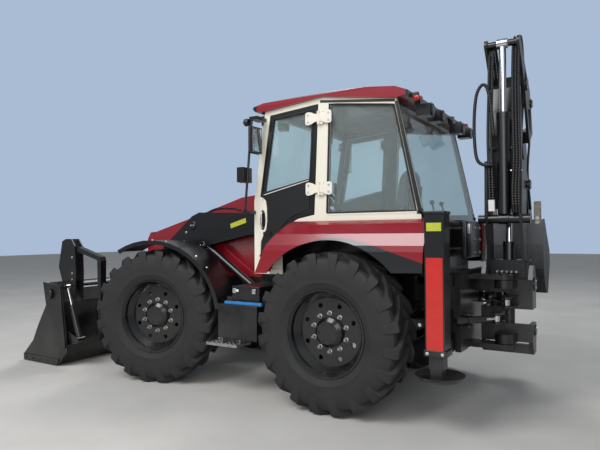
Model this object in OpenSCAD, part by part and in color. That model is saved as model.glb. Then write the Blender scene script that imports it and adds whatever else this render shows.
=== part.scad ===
/* [Layout] */
// Distance from the rear axle to the front axle
wheelbase = 2178; // [2150:1:2200]
// Place of the rear axle, measured from the middle of the whole machine
rear_axle_x = -1400; // [-1412:1:-1388]
// Height of both axles above the ground, which is the tyres' radius
axle_z = 706; // [700:1:712]
// Half the distance between the middles of the left and right tyres
track_half = 970; // [965:1:975]
// Angle at which the front wheels are parked, to the left
steer_rest = 14; // [0:1:18]

/* [Wheels] */
// Height of a lug above the tread
lug_h = 38; // [30:1:42]
// Lugs on each side of a tyre
lug_count = 20; // [18:1:20]
// Width of a lug at the shoulder
lug_w = 86; // [70:2:90]
// Greatest width of a tyre
tyre_w = 430; // [420:2:436]
// Radius of the bead seat
bead_r = 356; // [350:1:360]
// Width of the rim over its flanges
rim_w = 390; // [380:2:396]
// Plate thickness of the rim
rim_t = 10; // [8:1:14]
// Distance of the wheel disc outwards of the tyre's middle
disc_out = 55; // [45:1:65]
// Radius of the circle of wheel nuts
nut_circle_r = 168; // [160:1:175]
// Number of wheel nuts
nut_count = 10; // [8:2:12]

/* [Axles and steering] */
// Distance of each kingpin from the machine's middle
kingpin_y = 820; // [815:1:825]
// Radius of the kingpins
kingpin_r = 36; // [32:1:40]
// Radius of an axle tube
axle_tube_r = 85; // [75:1:95]
// Radius of a differential housing
banjo_r = 165; // [150:1:170]
// Radius of the wheel spindles
spindle_r = 62; // [56:1:66]

/* [Chassis] */
// Inner face of a chassis rail from the middle
rail_y = 290; // [280:1:294]
// Thickness of a chassis rail
rail_t = 66; // [50:1:68]
// Underside of the chassis rails
rail_z0 = 885; // [880:1:895]
// Top of the chassis rails
rail_z1 = 1100; // [1090:1:1105]

/* [Cab] */
// Half width of the cab over its side frames
cab_y = 865; // [860:1:870]
// Thickness of the cab's side frames
cab_t = 48; // [40:1:50]
// Thickness of the window glass
glass_t = 6; // [4:1:8]
// Gap round a door in its opening
door_gap = 6; // [5:0.5:8]

/* [Loader] */
// Middle of an arm's outer plate from the machine's middle
arm_out_y = 500; // [496:1:504]
// Middle of an arm's inner plate from the machine's middle
arm_in_y = 380; // [376:1:384]
// Thickness of the loader arm's plates
arm_t = 20; // [14:1:22]
// Radius of the lift rams' barrels
lift_r = 42; // [38:1:44]
// Radius of the tilt rams' barrels
tilt_r = 40; // [36:1:44]
// Half width of the front bucket
bucket_y = 1187; // [1180:1:1195]
// Thickness of the front bucket's plates
bucket_t = 14; // [10:1:16]
// Spacing of the cutting edge's bolt holes
edge_pitch = 300; // [280:5:310]
// Radius of a cutting edge bolt hole
edge_hole_r = 10.5; // [8:0.5:13]

/* [Backhoe] */
// Slew axis ahead of the rear axle
slew_x = -1330; // [-1335:1:-1328]
// Place of the carriage to the left of the middle as parked
shift_rest = 350; // [330:5:370]
// Half width of the kingpost over its plates
kingpost_w = 215; // [205:1:220]
// Half width of the digging bucket
hoe_bucket_w = 250; // [240:1:255]
// Plate thickness of the digging bucket
hoe_bucket_t = 12; // [8:1:16]
// Radius of the boom and dipper rams' barrels
hoe_ram_r = 54; // [48:1:56]

/* [Hidden] */
$fn = 48;

cream = [0.88, 0.86, 0.78];
red = [0.62, 0.05, 0.10];
black = [0.05, 0.05, 0.055];
dark = [0.10, 0.10, 0.11];
steel = [0.75, 0.76, 0.78];
glass = [0.45, 0.60, 0.62, 0.4];

// Running clearance between a pin and its bore
pin_gap = 0.1;
// Clearance between pieces that pass each other
pass_gap = 6;
// Clearance of pieces that slide or rest on each other
run_gap = 0.3;

// Points (x, z) of an arc round c
function arc(c, r, a0, a1, n) =
    [for (i = [0:n]) let (a = a0 + (a1 - a0) * i / n) c + r * [cos(a), sin(a)]];
function heading(p, q) = atan2(q[1] - p[1], q[0] - p[0]);
function reach(p, q) = norm(q - p);
function polar(c, r, a) = c + r * [cos(a), sin(a)];

// Everything is drawn from the ground under the rear axle, then moved to the middle
module home() { translate([rear_axle_x, 0, 0]) children(); }
// A plate from y0 to y1 whose outline is drawn as (x, z)
module side_plate(y0, y1) {
    translate([0, y1, 0]) rotate([90, 0, 0]) linear_extrude(height = y1 - y0) children();
}
module pin_y(p, r, y0, y1) {
    translate([p[0], y0, p[1]]) rotate([-90, 0, 0]) cylinder(r = r, h = y1 - y0);
}
module both_sides() {
    children();
    mirror([0, 1, 0]) children();
}
module slab(a, b) { translate(a) cube(b - a); }
// Outline of a bar between two round ends
module bar(p, q, rp, rq) {
    a = heading(p, q);
    translate(p) circle(r = rp);
    translate(q) circle(r = rq);
    polygon([polar(p, rp, a + 90), polar(p, rp, a - 90), polar(q, rq, a - 90), polar(q, rq, a + 90)]);
}
// Puts a ram drawn along +X from its base pin at p, pointing to q, in the plane y
module along(p, q, y) {
    translate([p[0], y, p[1]]) rotate([0, -heading(p, q), 0]) children();
}
// A ram's barrel of length len from the base pin, bored for its rod
module barrel(len, r, rod_r, eye_r, eye_w, eye_at = 0) {
    difference() {
        union() {
            translate([0, -eye_w / 2, 0]) rotate([-90, 0, 0]) cylinder(r = eye_r, h = eye_w);
            rotate([0, 90, 0]) translate([0, 0, eye_at]) cylinder(r = r, h = len - 45 - eye_at);
            rotate([0, 90, 0]) translate([0, 0, len - 45]) cylinder(r = r + 4, h = 45);
        }
        rotate([0, 90, 0]) translate([0, 0, eye_r + 12])
            cylinder(r = rod_r + pin_gap, h = len);
    }
}
// A ram's rod of length len back from its eye, which lies at_x from the base pin
module rod(at_x, len, rod_r, eye_r, eye_w) {
    translate([at_x, -eye_w / 2, 0]) rotate([-90, 0, 0]) cylinder(r = eye_r, h = eye_w);
    rotate([0, 90, 0]) translate([0, 0, at_x - len]) cylinder(r = rod_r, h = len - eye_r / 2);
}

// Wheels. Rims are drawn on the tyre's middle with the outer side up, then stood on the axle.
rim_profile = [
    [bead_r + 28, -rim_w / 2], [bead_r + 32, -rim_w / 2 + 6], [bead_r + 12, -rim_w / 2 + 14],
    [bead_r, -rim_w / 2 + 24], [bead_r, -118], [308, -70], [308, 60], [bead_r, 118],
    [bead_r, rim_w / 2 - 24], [bead_r + 12, rim_w / 2 - 14],
    [bead_r + 32, rim_w / 2 - 6], [bead_r + 28, rim_w / 2], [bead_r + 14, rim_w / 2],
    [bead_r - rim_t, rim_w / 2 - 30], [bead_r - rim_t, 122], [308 - rim_t, 66],
    [308 - rim_t, -76], [bead_r - rim_t, -122], [bead_r - rim_t, -rim_w / 2 + 30],
    [bead_r + 14, -rim_w / 2]
];
hub_face = kingpin_y + 112;
module stand_wheel(side) {
    translate([0, side * track_half, axle_z]) rotate([side > 0 ? -90 : 90, 0, 0]) children();
}
// Front wheels and knuckles are turned about their kingpins as parked
module steered(front, side) {
    if (front)
        translate([wheelbase, side * kingpin_y, 0]) rotate([0, 0, steer_rest])
            translate([0, -side * kingpin_y, 0]) children();
    else children();
}
// A tyre is one closed skin. Each pitch of the lugs has four columns: the lug's two edges and
// the feet of the walls beside it. Rows run from the tread's middle down to the sidewall:
// [radius on a lug, offset on a lug, radius between, offset between, lean, share of lug_w]
pitch = 360 / lug_count;
tread_rows = [
    [axle_z, 16, axle_z - lug_h, 16, 1, 0.75],
    [axle_z - 6, 184, axle_z - lug_h - 10, 166, 17.5, 1],
    [560, tyre_w / 2 - 3, 560, tyre_w / 2 - 3, 18.5, 0.9]
];
// Rings of the sidewall, bead and inner wall: [radius, offset]
wall_rings = [[510, tyre_w / 2], [bead_r + 30, 184], [(bead_r + 0.4) / cos(pitch / 2), 130], [640, 145]];
function half_lug(row) = row[5] * lug_w / 2 / axle_z * 180 / PI;
function tread_point(row, j, s) = let (c = (j + 1 + s) % 4, h = half_lug(row), foot = h + 1.3,
    a = (floor(j / 4) + (s < 0 ? 0 : j % 4 < 2 ? -0.5 : 0.5)) * pitch + row[4] + [-h, h, foot, pitch - foot][c],
    r = row[c < 2 ? 0 : 2])
    [r * cos(a), s * row[c < 2 ? 1 : 3], r * sin(a)];
function middle_point(j) = let (h = half_lug(tread_rows[0]), r = axle_z - lug_h,
    a = floor(j / 4) * pitch + [-h, h, pitch / 2 - h, pitch / 2 + h][j % 4]) [r * cos(a), 0, r * sin(a)];
function wall_point(ring, k, s) = let (a = (k + (s + 1) / 4) * pitch + tread_rows[2][4])
    [ring[0] * cos(a), s * ring[1], ring[0] * sin(a)];
module tyre_skin() {
    n = lug_count;
    m = 4 * n;
    points = concat(
        [for (i = [2:-1:0], j = [0:m - 1]) tread_point(tread_rows[i], j, -1)],
        [for (j = [0:m - 1]) middle_point(j)],
        [for (i = [0:2], j = [0:m - 1]) tread_point(tread_rows[i], j, 1)],
        [for (i = [0:3], k = [0:n - 1]) wall_point(wall_rings[i], k, 1)],
        [for (i = [3:-1:0], k = [0:n - 1]) wall_point(wall_rings[i], k, -1)]);
    tread = [for (i = [0:5], j = [0:m - 1]) let (a = i * m, b = a + m, q = (j + 1) % m)
        each [[a + j, b + j, b + q], [a + j, b + q, a + q]]];
    wall = [for (i = [0:6], k = [0:n - 1]) let (a = 7 * m + i * n, b = a + n, q = (k + 1) % n)
        each [[a + k, b + k, b + q], [a + k, b + q, a + q]]];
    // Each wall point meets the lug beside it, and shares the groove with its neighbour
    left = [for (k = [0:n - 1]) let (d = 6 * m, e = 7 * m, j = 4 * k + 2, q = (k + 1) % n)
        each [[d + j, e + k, d + j + 1], [d + j + 1, e + k, d + (j + 2) % m], [d + (j + 2) % m, e + k, e + q],
            [d + (j + 2) % m, e + q, d + (j + 3) % m], [d + (j + 3) % m, e + q, d + (j + 4) % m]]];
    right = [for (k = [0:n - 1]) let (e = 7 * m + 7 * n, j = 4 * k, q = (k + 1) % n)
        each [[j + 1, e + k, j], [j + 2, e + k, j + 1], [e + q, e + k, j + 2],
            [j + 3, e + q, j + 2], [(j + 4) % m, e + q, j + 3]]];
    polyhedron(points = points, faces = concat(tread, wall, left, right), convexity = 6);
}
module tyre(front, side) {
    color(dark) steered(front, side) translate([0, side * track_half, axle_z]) tyre_skin();
}
// Rim, dished disc, planetary hub and nuts, with a blind bore for the spindle
module rim(front, side) {
    hub_in = hub_face - track_half;
    color(black) steered(front, side) stand_wheel(side) difference() {
        union() {
            rotate_extrude() polygon(rim_profile);
            translate([0, 0, disc_out]) cylinder(r = 300, h = 14);
            translate([0, 0, hub_in]) cylinder(r = 150, h = disc_out - hub_in);
            translate([0, 0, disc_out]) cylinder(r = 128, h = 50);
            translate([0, 0, disc_out + 50]) cylinder(r1 = 128, r2 = 100, h = 22);
            for (k = [0:nut_count - 1]) rotate([0, 0, (k + 0.5) * 360 / nut_count])
                translate([nut_circle_r, 0, disc_out + 13]) cylinder(r = 15, h = 27, $fn = 6);
        }
        translate([0, 0, hub_in - 1]) cylinder(r = spindle_r + pin_gap, h = 71);
        for (k = [0:7]) rotate([0, 0, (k + 0.5) * 45])
            translate([248, 0, disc_out - 1]) cylinder(r = 22, h = 16);
    }
}
// Knuckle with its kingpin and spindle; the front ones carry the mudguards
mudguard_r = 790;
module knuckle(front, side) {
    color(black) steered(front, side) translate([0, 0, axle_z]) mirror([0, side < 0 ? 1 : 0, 0]) {
        translate([0, kingpin_y, -188]) cylinder(r = kingpin_r, h = 376);
        translate([0, kingpin_y, -140]) cylinder(r = 63, h = 280);
        translate([0, kingpin_y - 42, 0]) rotate([-90, 0, 0]) cylinder(r = 118, h = 120);
        translate([0, kingpin_y + 78, 0]) rotate([-90, 0, 0]) cylinder(r = 146, h = 28);
        translate([0, kingpin_y + 106, 0]) rotate([-90, 0, 0]) cylinder(r = spindle_r, h = 72);
        if (front) mudguard();
    }
}
module mudguard() {
    arch = concat(arc([0, 0], mudguard_r, 60, 172, 14), arc([0, 0], mudguard_r + 20, 172, 60, 14));
    // Bracket from the kingpin's cap up the inner side of the tyre
    translate([-70, kingpin_y - 105, 196]) cube([140, 150, 18]);
    translate([0, kingpin_y, 188]) cylinder(r = kingpin_r + 20, h = 20);
    side_plate(kingpin_y - 105, kingpin_y - 87)
        polygon([[-70, 196], [70, 196], [110, 793], [-110, 793]]);
    side_plate(kingpin_y - 92, track_half + 210) polygon(arch);
    side_plate(track_half + 200, track_half + 222)
        polygon(concat(arc([0, 0], mudguard_r - 22, 60, 172, 14),
            arc([0, 0], mudguard_r + 20, 172, 60, 14)));
}
module axle(x) {
    translate([x, 0, axle_z]) {
        rotate([90, 0, 0]) cylinder(r = axle_tube_r, h = 2 * (kingpin_y - 78), center = true);
        rotate([90, 0, 0]) cylinder(r = banjo_r, h = 240, center = true);
        for (s = [-1, 1]) {
            rotate([-90 * s, 0, 0]) translate([0, 0, 120])
                cylinder(r1 = banjo_r, r2 = axle_tube_r, h = 170);
            for (e = [-1, 1]) difference() {
                union() {
                    translate([-70, s > 0 ? kingpin_y - 90 : -kingpin_y, e > 0 ? 150 : -186])
                        cube([140, 90, 36]);
                    translate([0, s * kingpin_y, e > 0 ? 150 : -186]) cylinder(r = 70, h = 36);
                }
                translate([0, s * kingpin_y, -300]) cylinder(r = kingpin_r + pin_gap, h = 600);
            }
            translate([-60, s > 0 ? kingpin_y - 90 : -kingpin_y + 70, -186]) cube([120, 20, 372]);
        }
    }
}
module axles() {
    color(dark) {
        axle(0);
        axle(wheelbase);
        // Saddles under the rails at the rear, cradle pin at the front
        for (s = [-1, 1]) translate([-90, s > 0 ? rail_y : -rail_y - rail_t, axle_z])
            cube([180, rail_t, rail_z0 - axle_z]);
        translate([wheelbase - 250, 0, axle_z]) rotate([0, 90, 0]) cylinder(r = 58, h = 500);
    }
}

// Chassis: two rails, cross members, loader towers, lift ram lugs and the front cradle
arm_pivot = [1100, 1690];
lift_base = [1250, 985];
module chassis_frame() {
    color(black) {
        both_sides() {
            side_plate(rail_y, rail_y + rail_t)
                polygon([[-880, rail_z0], [2895, rail_z0], [2895, rail_z1 - 20], [2860, rail_z1],
                    [1205, rail_z1], [1205, arm_pivot[1] + 60], [1150, arm_pivot[1] + 100],
                    [1040, arm_pivot[1] + 100], [1000, arm_pivot[1] + 60], [985, rail_z1],
                    [-880, rail_z1]]);
            pin_y(arm_pivot, 40, rail_y + rail_t - 1, arm_out_y + arm_t / 2 + 14);
            pin_y(arm_pivot, 58, arm_out_y + arm_t / 2 + 5, arm_out_y + arm_t / 2 + 14);
            pin_y(lift_base, 26, rail_y + rail_t - 1, 440 + 46);
            pin_y(lift_base, 60, rail_y + rail_t - 1, 440 - 46);
        }
        for (x = [-700, 620, 1400, 2560]) slab([x, -rail_y - 1, rail_z0 + 30], [x + 120, rail_y + 1, rail_z0 + 110]);
        slab([2800, -rail_y - 1, rail_z0], [2895, rail_y + 1, rail_z1 - 20]);
        // Cradle on the front axle's pin
        for (x = [wheelbase - 250, wheelbase + 210]) difference() {
            cross_plate(x, x + 40) polygon([[-rail_y - 1, rail_z0 + 40], [-rail_y - 1, 860], [-120, 610],
                [120, 610], [rail_y + 1, 860], [rail_y + 1, rail_z0 + 40]]);
            translate([x - 1, 0, axle_z]) rotate([0, 90, 0]) cylinder(r = 58 + pin_gap, h = 42);
        }
        // Mounts that carry the cab
        both_sides() for (x = [-560, 760])
            slab([x, rail_y + rail_t - 1, rail_z0 + 60], [x + 110, 430, cab_z0]);
    }
}
// Rear frame with the slide rails and the tubes of the stabilizer legs
leg = [-972, 1062];
leg_w = 155;
leg_in = 113;
leg_z0 = 650;
leg_z1 = 1730;
slide_x = -1000;
slide_t = 95;
slide_top = [1125, 1215];
slide_low = [600, 690];
module rear_frame() {
    color(black) {
        both_sides() {
            difference() {
                slab([leg[0] - leg_w / 2, leg[1] - leg_w / 2, leg_z0],
                    [leg[0] + leg_w / 2, leg[1] + leg_w / 2, leg_z1]);
                slab([leg[0] - leg_in / 2 - run_gap, leg[1] - leg_in / 2 - run_gap, leg_z0 - 1],
                    [leg[0] + leg_in / 2 + run_gap, leg[1] + leg_in / 2 + run_gap, leg_z1 - 12]);
            }
            slab([slide_x + 10, 300, slide_low[0]], [slide_x + slide_t, 380, slide_top[1]]);
            slab([slide_x + 10, 880, slide_low[0]], [slide_x + slide_t, leg[1] - leg_w / 2 + 1, slide_top[1]]);
            slab([-905, rail_y, rail_z0], [-880, rail_y + rail_t, rail_z1]);
        }
        for (z = [slide_top, slide_low])
            slab([slide_x, -leg[1] + leg_w / 2 - 1, z[0]], [slide_x + slide_t, leg[1] - leg_w / 2 + 1, z[1]]);
    }
}
// Inner leg with its foot pad, drawn at the right place of the left one
module stabilizer(side) {
    color(black) mirror([0, side < 0 ? 1 : 0, 0]) {
        slab([leg[0] - leg_in / 2, leg[1] - leg_in / 2, 512], [leg[0] + leg_in / 2, leg[1] + leg_in / 2, 1500]);
        translate([leg[0], leg[1] - 40, 436]) cylinder(r1 = 180, r2 = 195, h = 22);
        translate([leg[0], leg[1] - 40, 412]) cylinder(r1 = 150, r2 = 180, h = 24.5);
        slab([leg[0] - 46, leg[1] - 56, 450], [leg[0] + 46, leg[1] + 56, 520]);
    }
}
module engine_block() {
    color(dark) {
        slab([1560, -262, 925], [2540, 262, 1560]);
        // Feet on the rails
        for (x = [1660, 2380]) slab([x, -rail_y, 1010], [x + 80, rail_y, 1060]);
    }
}

// A plate from x0 to x1 whose outline is drawn as (y, z)
module cross_plate(x0, x1) {
    translate([x0, 0, 0]) rotate([90, 0, 90]) linear_extrude(height = x1 - x0) children();
}
// A polygon's points moved inwards by d, drawn anticlockwise
function inset(p, d) = let (n = len(p)) [for (i = [0:n - 1])
    let (a = p[(i + n - 1) % n], b = p[i], c = p[(i + 1) % n],
        u = (b - a) / norm(b - a), v = (c - b) / norm(c - b),
        m = [-u[1], u[0]], k = [-v[1], v[0]])
    b + d * (m + k) / (1 + m * k)];

// Tanks and boxes between the axles, on both sides
tank = [[800, 440, 540], [1280, 1030, 875]];
module side_tanks() {
    color(black) both_sides() {
        slab(tank[0], tank[1]);
        slab([820, 560, 874], [1150, 960, 1045]);
        for (x = [880, 1100]) slab([x, rail_y + rail_t, 800], [x + 60, 441, 960]);
        translate([1210, 900, 874]) cylinder(r = 55, h = 40);
    }
}
// Step below each tank
module steps() {
    color(steel) both_sides() {
        slab([1000, 860, 470], [1385, 1090, 480]);
        for (x = [1000, 1375]) slab([x, 860, 470], [x + 10, 1090, 498]);
        for (y = [860, 1080]) slab([1000, y, 470], [1385, y + 10, 498]);
        for (x = [1020, 1240]) slab([x, 880, 479], [x + 12, 1010, 540]);
    }
}
// Rear mudguards: thin shells that slope outwards from the cab's sides
arch_r = 810;
module rear_fenders() {
    color(red) both_sides() difference() {
        intersection() {
            side_plate(cab_y, 1112)
                polygon([[-865, 1255], [765, 1205], [640, 1480], [470, 1690], [-885, 1690]]);
            cross_plate(-900, 780) polygon([[cab_y, 1150], [1112, 1150], [1112, 1420],
                [1100, 1470], [1050, 1570], [960, 1655], [cab_y, 1705]]);
        }
        intersection() {
            side_plate(cab_y - 1, 1113)
                polygon([[-853, 1100], [765, 1100], [752, 1205], [629, 1474], [463, 1678], [-873, 1678]]);
            cross_plate(-900, 780) polygon([[cab_y - 1, 1090], [1100, 1090], [1100, 1417],
                [1089, 1464], [1040, 1560], [954, 1643], [cab_y - 1, 1693]]);
        }
        pin_y([0, axle_z], arch_r, cab_y - 2, 1120);
    }
}

// Cab: outlines of the side frame and its openings as (x, z)
cab_side = [[600, 1222], [945, 1222], [945, 1900], [805, 2780], [150, 2840], [-570, 2730],
    [-800, 1690], [-800, 1560], [300, 1560], [440, 1545], [600, 1335]];
door_way = [[770, 1345], [885, 1345], [880, 1900], [745, 2740], [200, 2785], [250, 1750], [430, 1715],
    [508, 1678], [576, 1618], [650, 1540], [722, 1448]];
rear_light = [[115, 1765], [80, 2765], [-545, 2680], [-735, 1765]];
cab_z0 = 1182;
cab_in = cab_y - cab_t;
tub_y = 545;
module cab_frame() {
    color(cream) {
        both_sides() {
            side_plate(cab_in, cab_y) difference() {
                polygon(cab_side);
                polygon(door_way);
                polygon(rear_light);
            }
            // Wheelhouse: inner wall and lining
            side_plate(tub_y - 12, tub_y)
                polygon([[-800, cab_z0], [612, cab_z0], [612, 1335], [440, 1560], [-800, 1560]]);
            side_plate(tub_y - 1, cab_in + 1) polygon([[600, cab_z0], [612, cab_z0], [612, 1339],
                [446, 1560], [-800, 1560], [-800, 1548], [440, 1548], [600, 1335]]);
        }
        slab([-800, -tub_y, cab_z0], [601, tub_y, cab_z0 + 40]);
        slab([600, -cab_y, cab_z0], [945, cab_y, cab_z0 + 41]);
        // Front: panel below the windscreen, header above it, scuttle ahead of it
        slab([925, -cab_in - 1, cab_z0], [945, cab_in + 1, 1752]);
        side_plate(-cab_in - 1, cab_in + 1) polygon([[813, 2733], [805, 2780], [740, 2786], [748, 2738]]);
        difference() {
            side_plate(-284, 284) polygon([[944, cab_z0], [1206, cab_z0], [1206, 2010], [944, 1900]]);
            side_plate(-272, 272) polygon([[943, cab_z0 - 1], [1194, cab_z0 - 1], [1194, 1992], [943, 1886]]);
        }
        // Rear: panel below the window, header above it
        slab([-800, -tub_y, cab_z0], [-785, tub_y, 1600]);
        side_plate(-cab_in - 1, cab_in + 1) polygon([[-800, 1548], [-785, 1548], [-785, 1700], [-797, 1702]]);
        side_plate(-cab_in - 1, cab_in + 1)
            polygon([[-579, 2690], [-520, 2697], [-510, 2739], [-570, 2730]]);
    }
}
// Roof shell with its rear overhang, front and rear work lamps
lamp_y = [-650, -350, 350, 650];
module cab_roof() {
    color(red) {
        difference() {
            intersection() {
                side_plate(-900, 900) polygon([[-690, 2752], [-570, 2731], [150, 2841], [805, 2781],
                    [900, 2786], [930, 2812], [925, 2838], [800, 2874], [150, 2925], [-570, 2830],
                    [-685, 2782]]);
                cross_plate(-700, 940) polygon([[-900, 2700], [900, 2700], [900, 2835], [880, 2868],
                    [800, 2900], [600, 2926], [-600, 2926], [-800, 2900], [-880, 2868], [-900, 2835]]);
            }
            side_plate(-800, 800) polygon([[-560, 2700], [780, 2700], [775, 2850], [150, 2898], [-550, 2806]]);
        }
    }
    color(black) for (y = lamp_y) {
        slab([-815, y - 62, 2590], [-690, y + 62, 2690]);
        slab([-720, y - 30, 2689], [-666, y + 30, 2775]);
        slab([895, y - 62, 2690], [960, y + 62, 2786]);
        slab([880, y - 30, 2780], [915, y + 30, 2830]);
    }
}
module cab_windows() {
    color(glass) {
        both_sides() side_plate(cab_y - 30, cab_y - 30 + glass_t) polygon(rear_light);
        side_plate(-cab_in, cab_in) polygon([[935, 1752], [941, 1752], [941, 1899], [813, 2733],
            [807, 2733], [935, 1898]]);
        side_plate(-cab_in, cab_in) polygon([[-797, 1702], [-791, 1702], [-573, 2690], [-579, 2690]]);
    }
}
// Dash with the steering wheel, and the rear console with the backhoe's levers
module cab_interior() {
    color(dark) {
        side_plate(-260, 260) polygon([[800, 1223], [925, 1223], [925, 1800], [860, 1880], [740, 1760], [740, 1700]]);
        translate([800, 0, 1740]) rotate([0, -52, 0]) cylinder(r = 40, h = 330);
        translate([560, 0, 1928]) rotate([0, -52, 0]) {
            rotate_extrude() translate([185, 0]) circle(r = 16);
            cylinder(r = 60, h = 30, center = true);
            for (a = [90, 210, 330]) rotate([0, 0, a]) translate([0, 0, -9]) slab([0, -14, 0], [186, 14, 18]);
        }
        slab([-785, -300, 1222], [-640, 300, 1640]);
        for (y = [-150, 150]) {
            translate([-690, y, 1630]) rotate([0, 12, 0]) cylinder(r = 9, h = 240);
            translate([-690 + 240 * sin(12), y, 1630 + 240 * cos(12)]) sphere(r = 24);
        }
        // Side consoles along the wheelhouses
        both_sides() slab([-400, tub_y - 180, 1222], [250, tub_y - 12, 1620]);
    }
}
module seat() {
    color(dark) {
        slab([-230, -160, 1222], [130, 160, 1560]);
        side_plate(-245, 245) polygon(concat([[-330, 1560]], arc([190, 1610], 50, -90, 90, 6),
            [[-200, 1640], [-330, 1680]]));
        side_plate(-235, 235) polygon(concat([[-335, 1570], [-235, 1640], [-330, 2150]],
            arc([-385, 2150], 55, 0, 180, 8), [[-410, 1640]]));
    }
}
// Guard tubes beside the windscreen with mirrors and lamps
module mirrors() {
    color(black) both_sides() {
        foot = [955, 1005, 1790];
        head = [868, 1005, 2700];
        lean = atan2(foot[0] - head[0], head[2] - foot[2]);
        translate(foot) rotate([0, -lean, 0]) cylinder(r = 12, h = norm(head - foot));
        for (e = [[foot, 925], [head, 790]])
            slab([e[1], cab_y, e[0][2] - 16], [e[0][0] + 18, 1023, e[0][2] + 16]);
        // Lamp cluster and mirror
        slab([925, 930, 2080], [1000, 1075, 2225]);
        slab([820, 998, 2535], [892, 1012, 2551]);
        slab([810, 918, 2360], [837, 1078, 2610]);
    }
}
// Nose behind the bucket, with a grille of upright slats and two lamps
module front_cowl() {
    color(red) {
        difference() {
            side_plate(-355, 355) polygon([[2901, 890], [3010, 920], [3010, 1520], [2960, 1605], [2901, 1612]]);
            slab([2900, -340, 1085], [2995, 340, 1500]);
            slab([2990, -300, 1110], [3011, 300, 1380]);
        }
        for (k = [-6:6]) slab([2992, k * 44 - 5, 1105], [3007, k * 44 + 5, 1385]);
    }
    color(black) for (s = [-1, 1]) translate([3009, s * 270, 1450]) rotate([0, 90, 0]) cylinder(r = 42, h = 12);
}
// Bonnet: a shell hinged at its rear top edge
module bonnet() {
    color(red) {
        difference() {
            intersection() {
                side_plate(-354, 354) polygon([[1214, rail_z1 + run_gap], [2901, rail_z1 + run_gap], [2901, 1602], [2500, 1712],
                    [2200, 1792], [1500, 1992], [1214, 2020]]);
                cross_plate(1200, 2902) polygon([[-354, 1090], [354, 1090], [354, 1560], [345, 2030],
                    [-345, 2030], [-354, 1560]]);
            }
            intersection() {
                side_plate(-342, 342) polygon([[1210, 1090], [2902, 1090], [2902, 1588], [2497, 1700],
                    [2197, 1780], [1498, 1980], [1210, 2007]]);
                cross_plate(1200, 2903) polygon([[-342, 1080], [342, 1080], [342, 1560], [333, 2030],
                    [-333, 2030], [-342, 1560]]);
            }
        }
    }
}

// Doors: frame with a lower panel, a handle and two hinges; the rear edge is hung
door_axis = [188, cab_y + 20];
door_frame = inset(door_way, 6);
door_light = [[614, 1640], [835, 1640], [835, 1896], [702, 2694], [255, 2730], [302, 1788], [450, 1752], [534, 1712]];
module door(side) {
    color(black) mirror([0, side < 0 ? 1 : 0, 0]) {
        side_plate(cab_y - 36, cab_y) difference() {
            polygon(door_frame);
            polygon(door_light);
        }
        translate([740, cab_y - 1, 1560]) cube([90, 14, 34]);
        for (z = [1960, 2620]) {
            translate([door_axis[0], door_axis[1], z]) difference() {
                cylinder(r = 11, h = 60);
                translate([0, 0, -1]) cylinder(r = 5 + pin_gap, h = 62);
            }
            translate([door_axis[0] + 9, door_axis[1] - 4, z]) cube([72, 9, 60]);
            translate([door_axis[0] + 62, cab_y - 1, z]) cube([19, 22, 60]);
        }
    }
}
module door_glass(side) {
    color(glass) mirror([0, side < 0 ? 1 : 0, 0])
        side_plate(cab_y - 22, cab_y - 22 + glass_t) polygon(door_light);
}
// Hinge pins stand on blocks on the cab's middle pillars
module door_hinges() {
    both_sides() for (z = [1960, 2620]) {
        translate([door_axis[0], door_axis[1], z - 30]) cylinder(r = 5, h = 120);
        for (e = [-30, 66]) {
            translate([door_axis[0], door_axis[1], z + e]) cylinder(r = 11, h = 24);
            translate([door_axis[0] - 45, cab_y - 1, z + e]) cube([45, 22, 24]);
        }
    }
}

// Loader. Points as (x, z); the arms are pairs of plates with the rams between them.
arm_y = (arm_out_y + arm_in_y) / 2;
lift_eye = [1950, 1450];
tilt_base = [2100, 1680];
arm_end = [3390, 290];
tilt_eye = [3400, 570];
arm_outline = concat(
    [[1018, 1617], [1100, 1580], [1320, 1562], [2110, 1400], [2205, 1490], [2330, 1400]],
    [[2560, 1190], [2800, 975], [3130, 640], [3321, 262]],
    [[3459, 318], [3330, 700], [3000, 1090], [2622, 1389], [2110, 1790], [2000, 1830]],
    [[1190, 1802], [1150, 1795], [1020, 1765]]
);
module arm_plate() {
    difference() {
        union() {
            polygon(arm_outline);
            translate(arm_pivot) circle(r = 110);
            translate(arm_end) circle(r = 74);
        }
        translate(arm_pivot) circle(r = 40 + pin_gap);
        translate(arm_end) circle(r = 32 + pin_gap);
    }
}
module loader_arms() {
    color(black) {
        both_sides() {
            side_plate(arm_in_y - arm_t / 2, arm_in_y + arm_t / 2) arm_plate();
            side_plate(arm_out_y - arm_t / 2, arm_out_y + arm_t / 2) arm_plate();
            // Spacers between the plates along the upper edge
            side_plate(arm_in_y, arm_out_y) polygon([[1190, 1788], [2000, 1816], [2000, 1826], [1190, 1798]]);
            // Stub pins of the rams, short of the eyes between them
            for (e = [lift_eye, tilt_base]) for (k = [[arm_in_y - 22, arm_in_y + 24], [arm_out_y - 24, arm_out_y + 22]])
                pin_y(e, 26, k[0], k[1]);
        }
        pin_y([3150, 735], 58, -arm_in_y, arm_in_y);
    }
}
function lift_len() = reach(lift_base, lift_eye);
function tilt_len() = reach(tilt_base, tilt_eye);
module lift_barrels() {
    color(black) both_sides() difference() {
        along(lift_base, lift_eye, arm_y) barrel(lift_len() - 66, lift_r, 26, 50, 70);
        pin_y(lift_base, 26 + pin_gap, arm_y - 50, arm_y + 50);
    }
}
module lift_rods() {
    color(steel) both_sides() along(lift_base, lift_eye, arm_y) rod(lift_len(), 690, 26, 40, 62);
}
module tilt_barrels() {
    color(black) both_sides() difference() {
        along(tilt_base, tilt_eye, arm_y) barrel(1420, tilt_r, 24, 46, 62, 42);
        pin_y(tilt_base, 20, arm_y - 50, arm_y + 50);
    }
}
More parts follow.
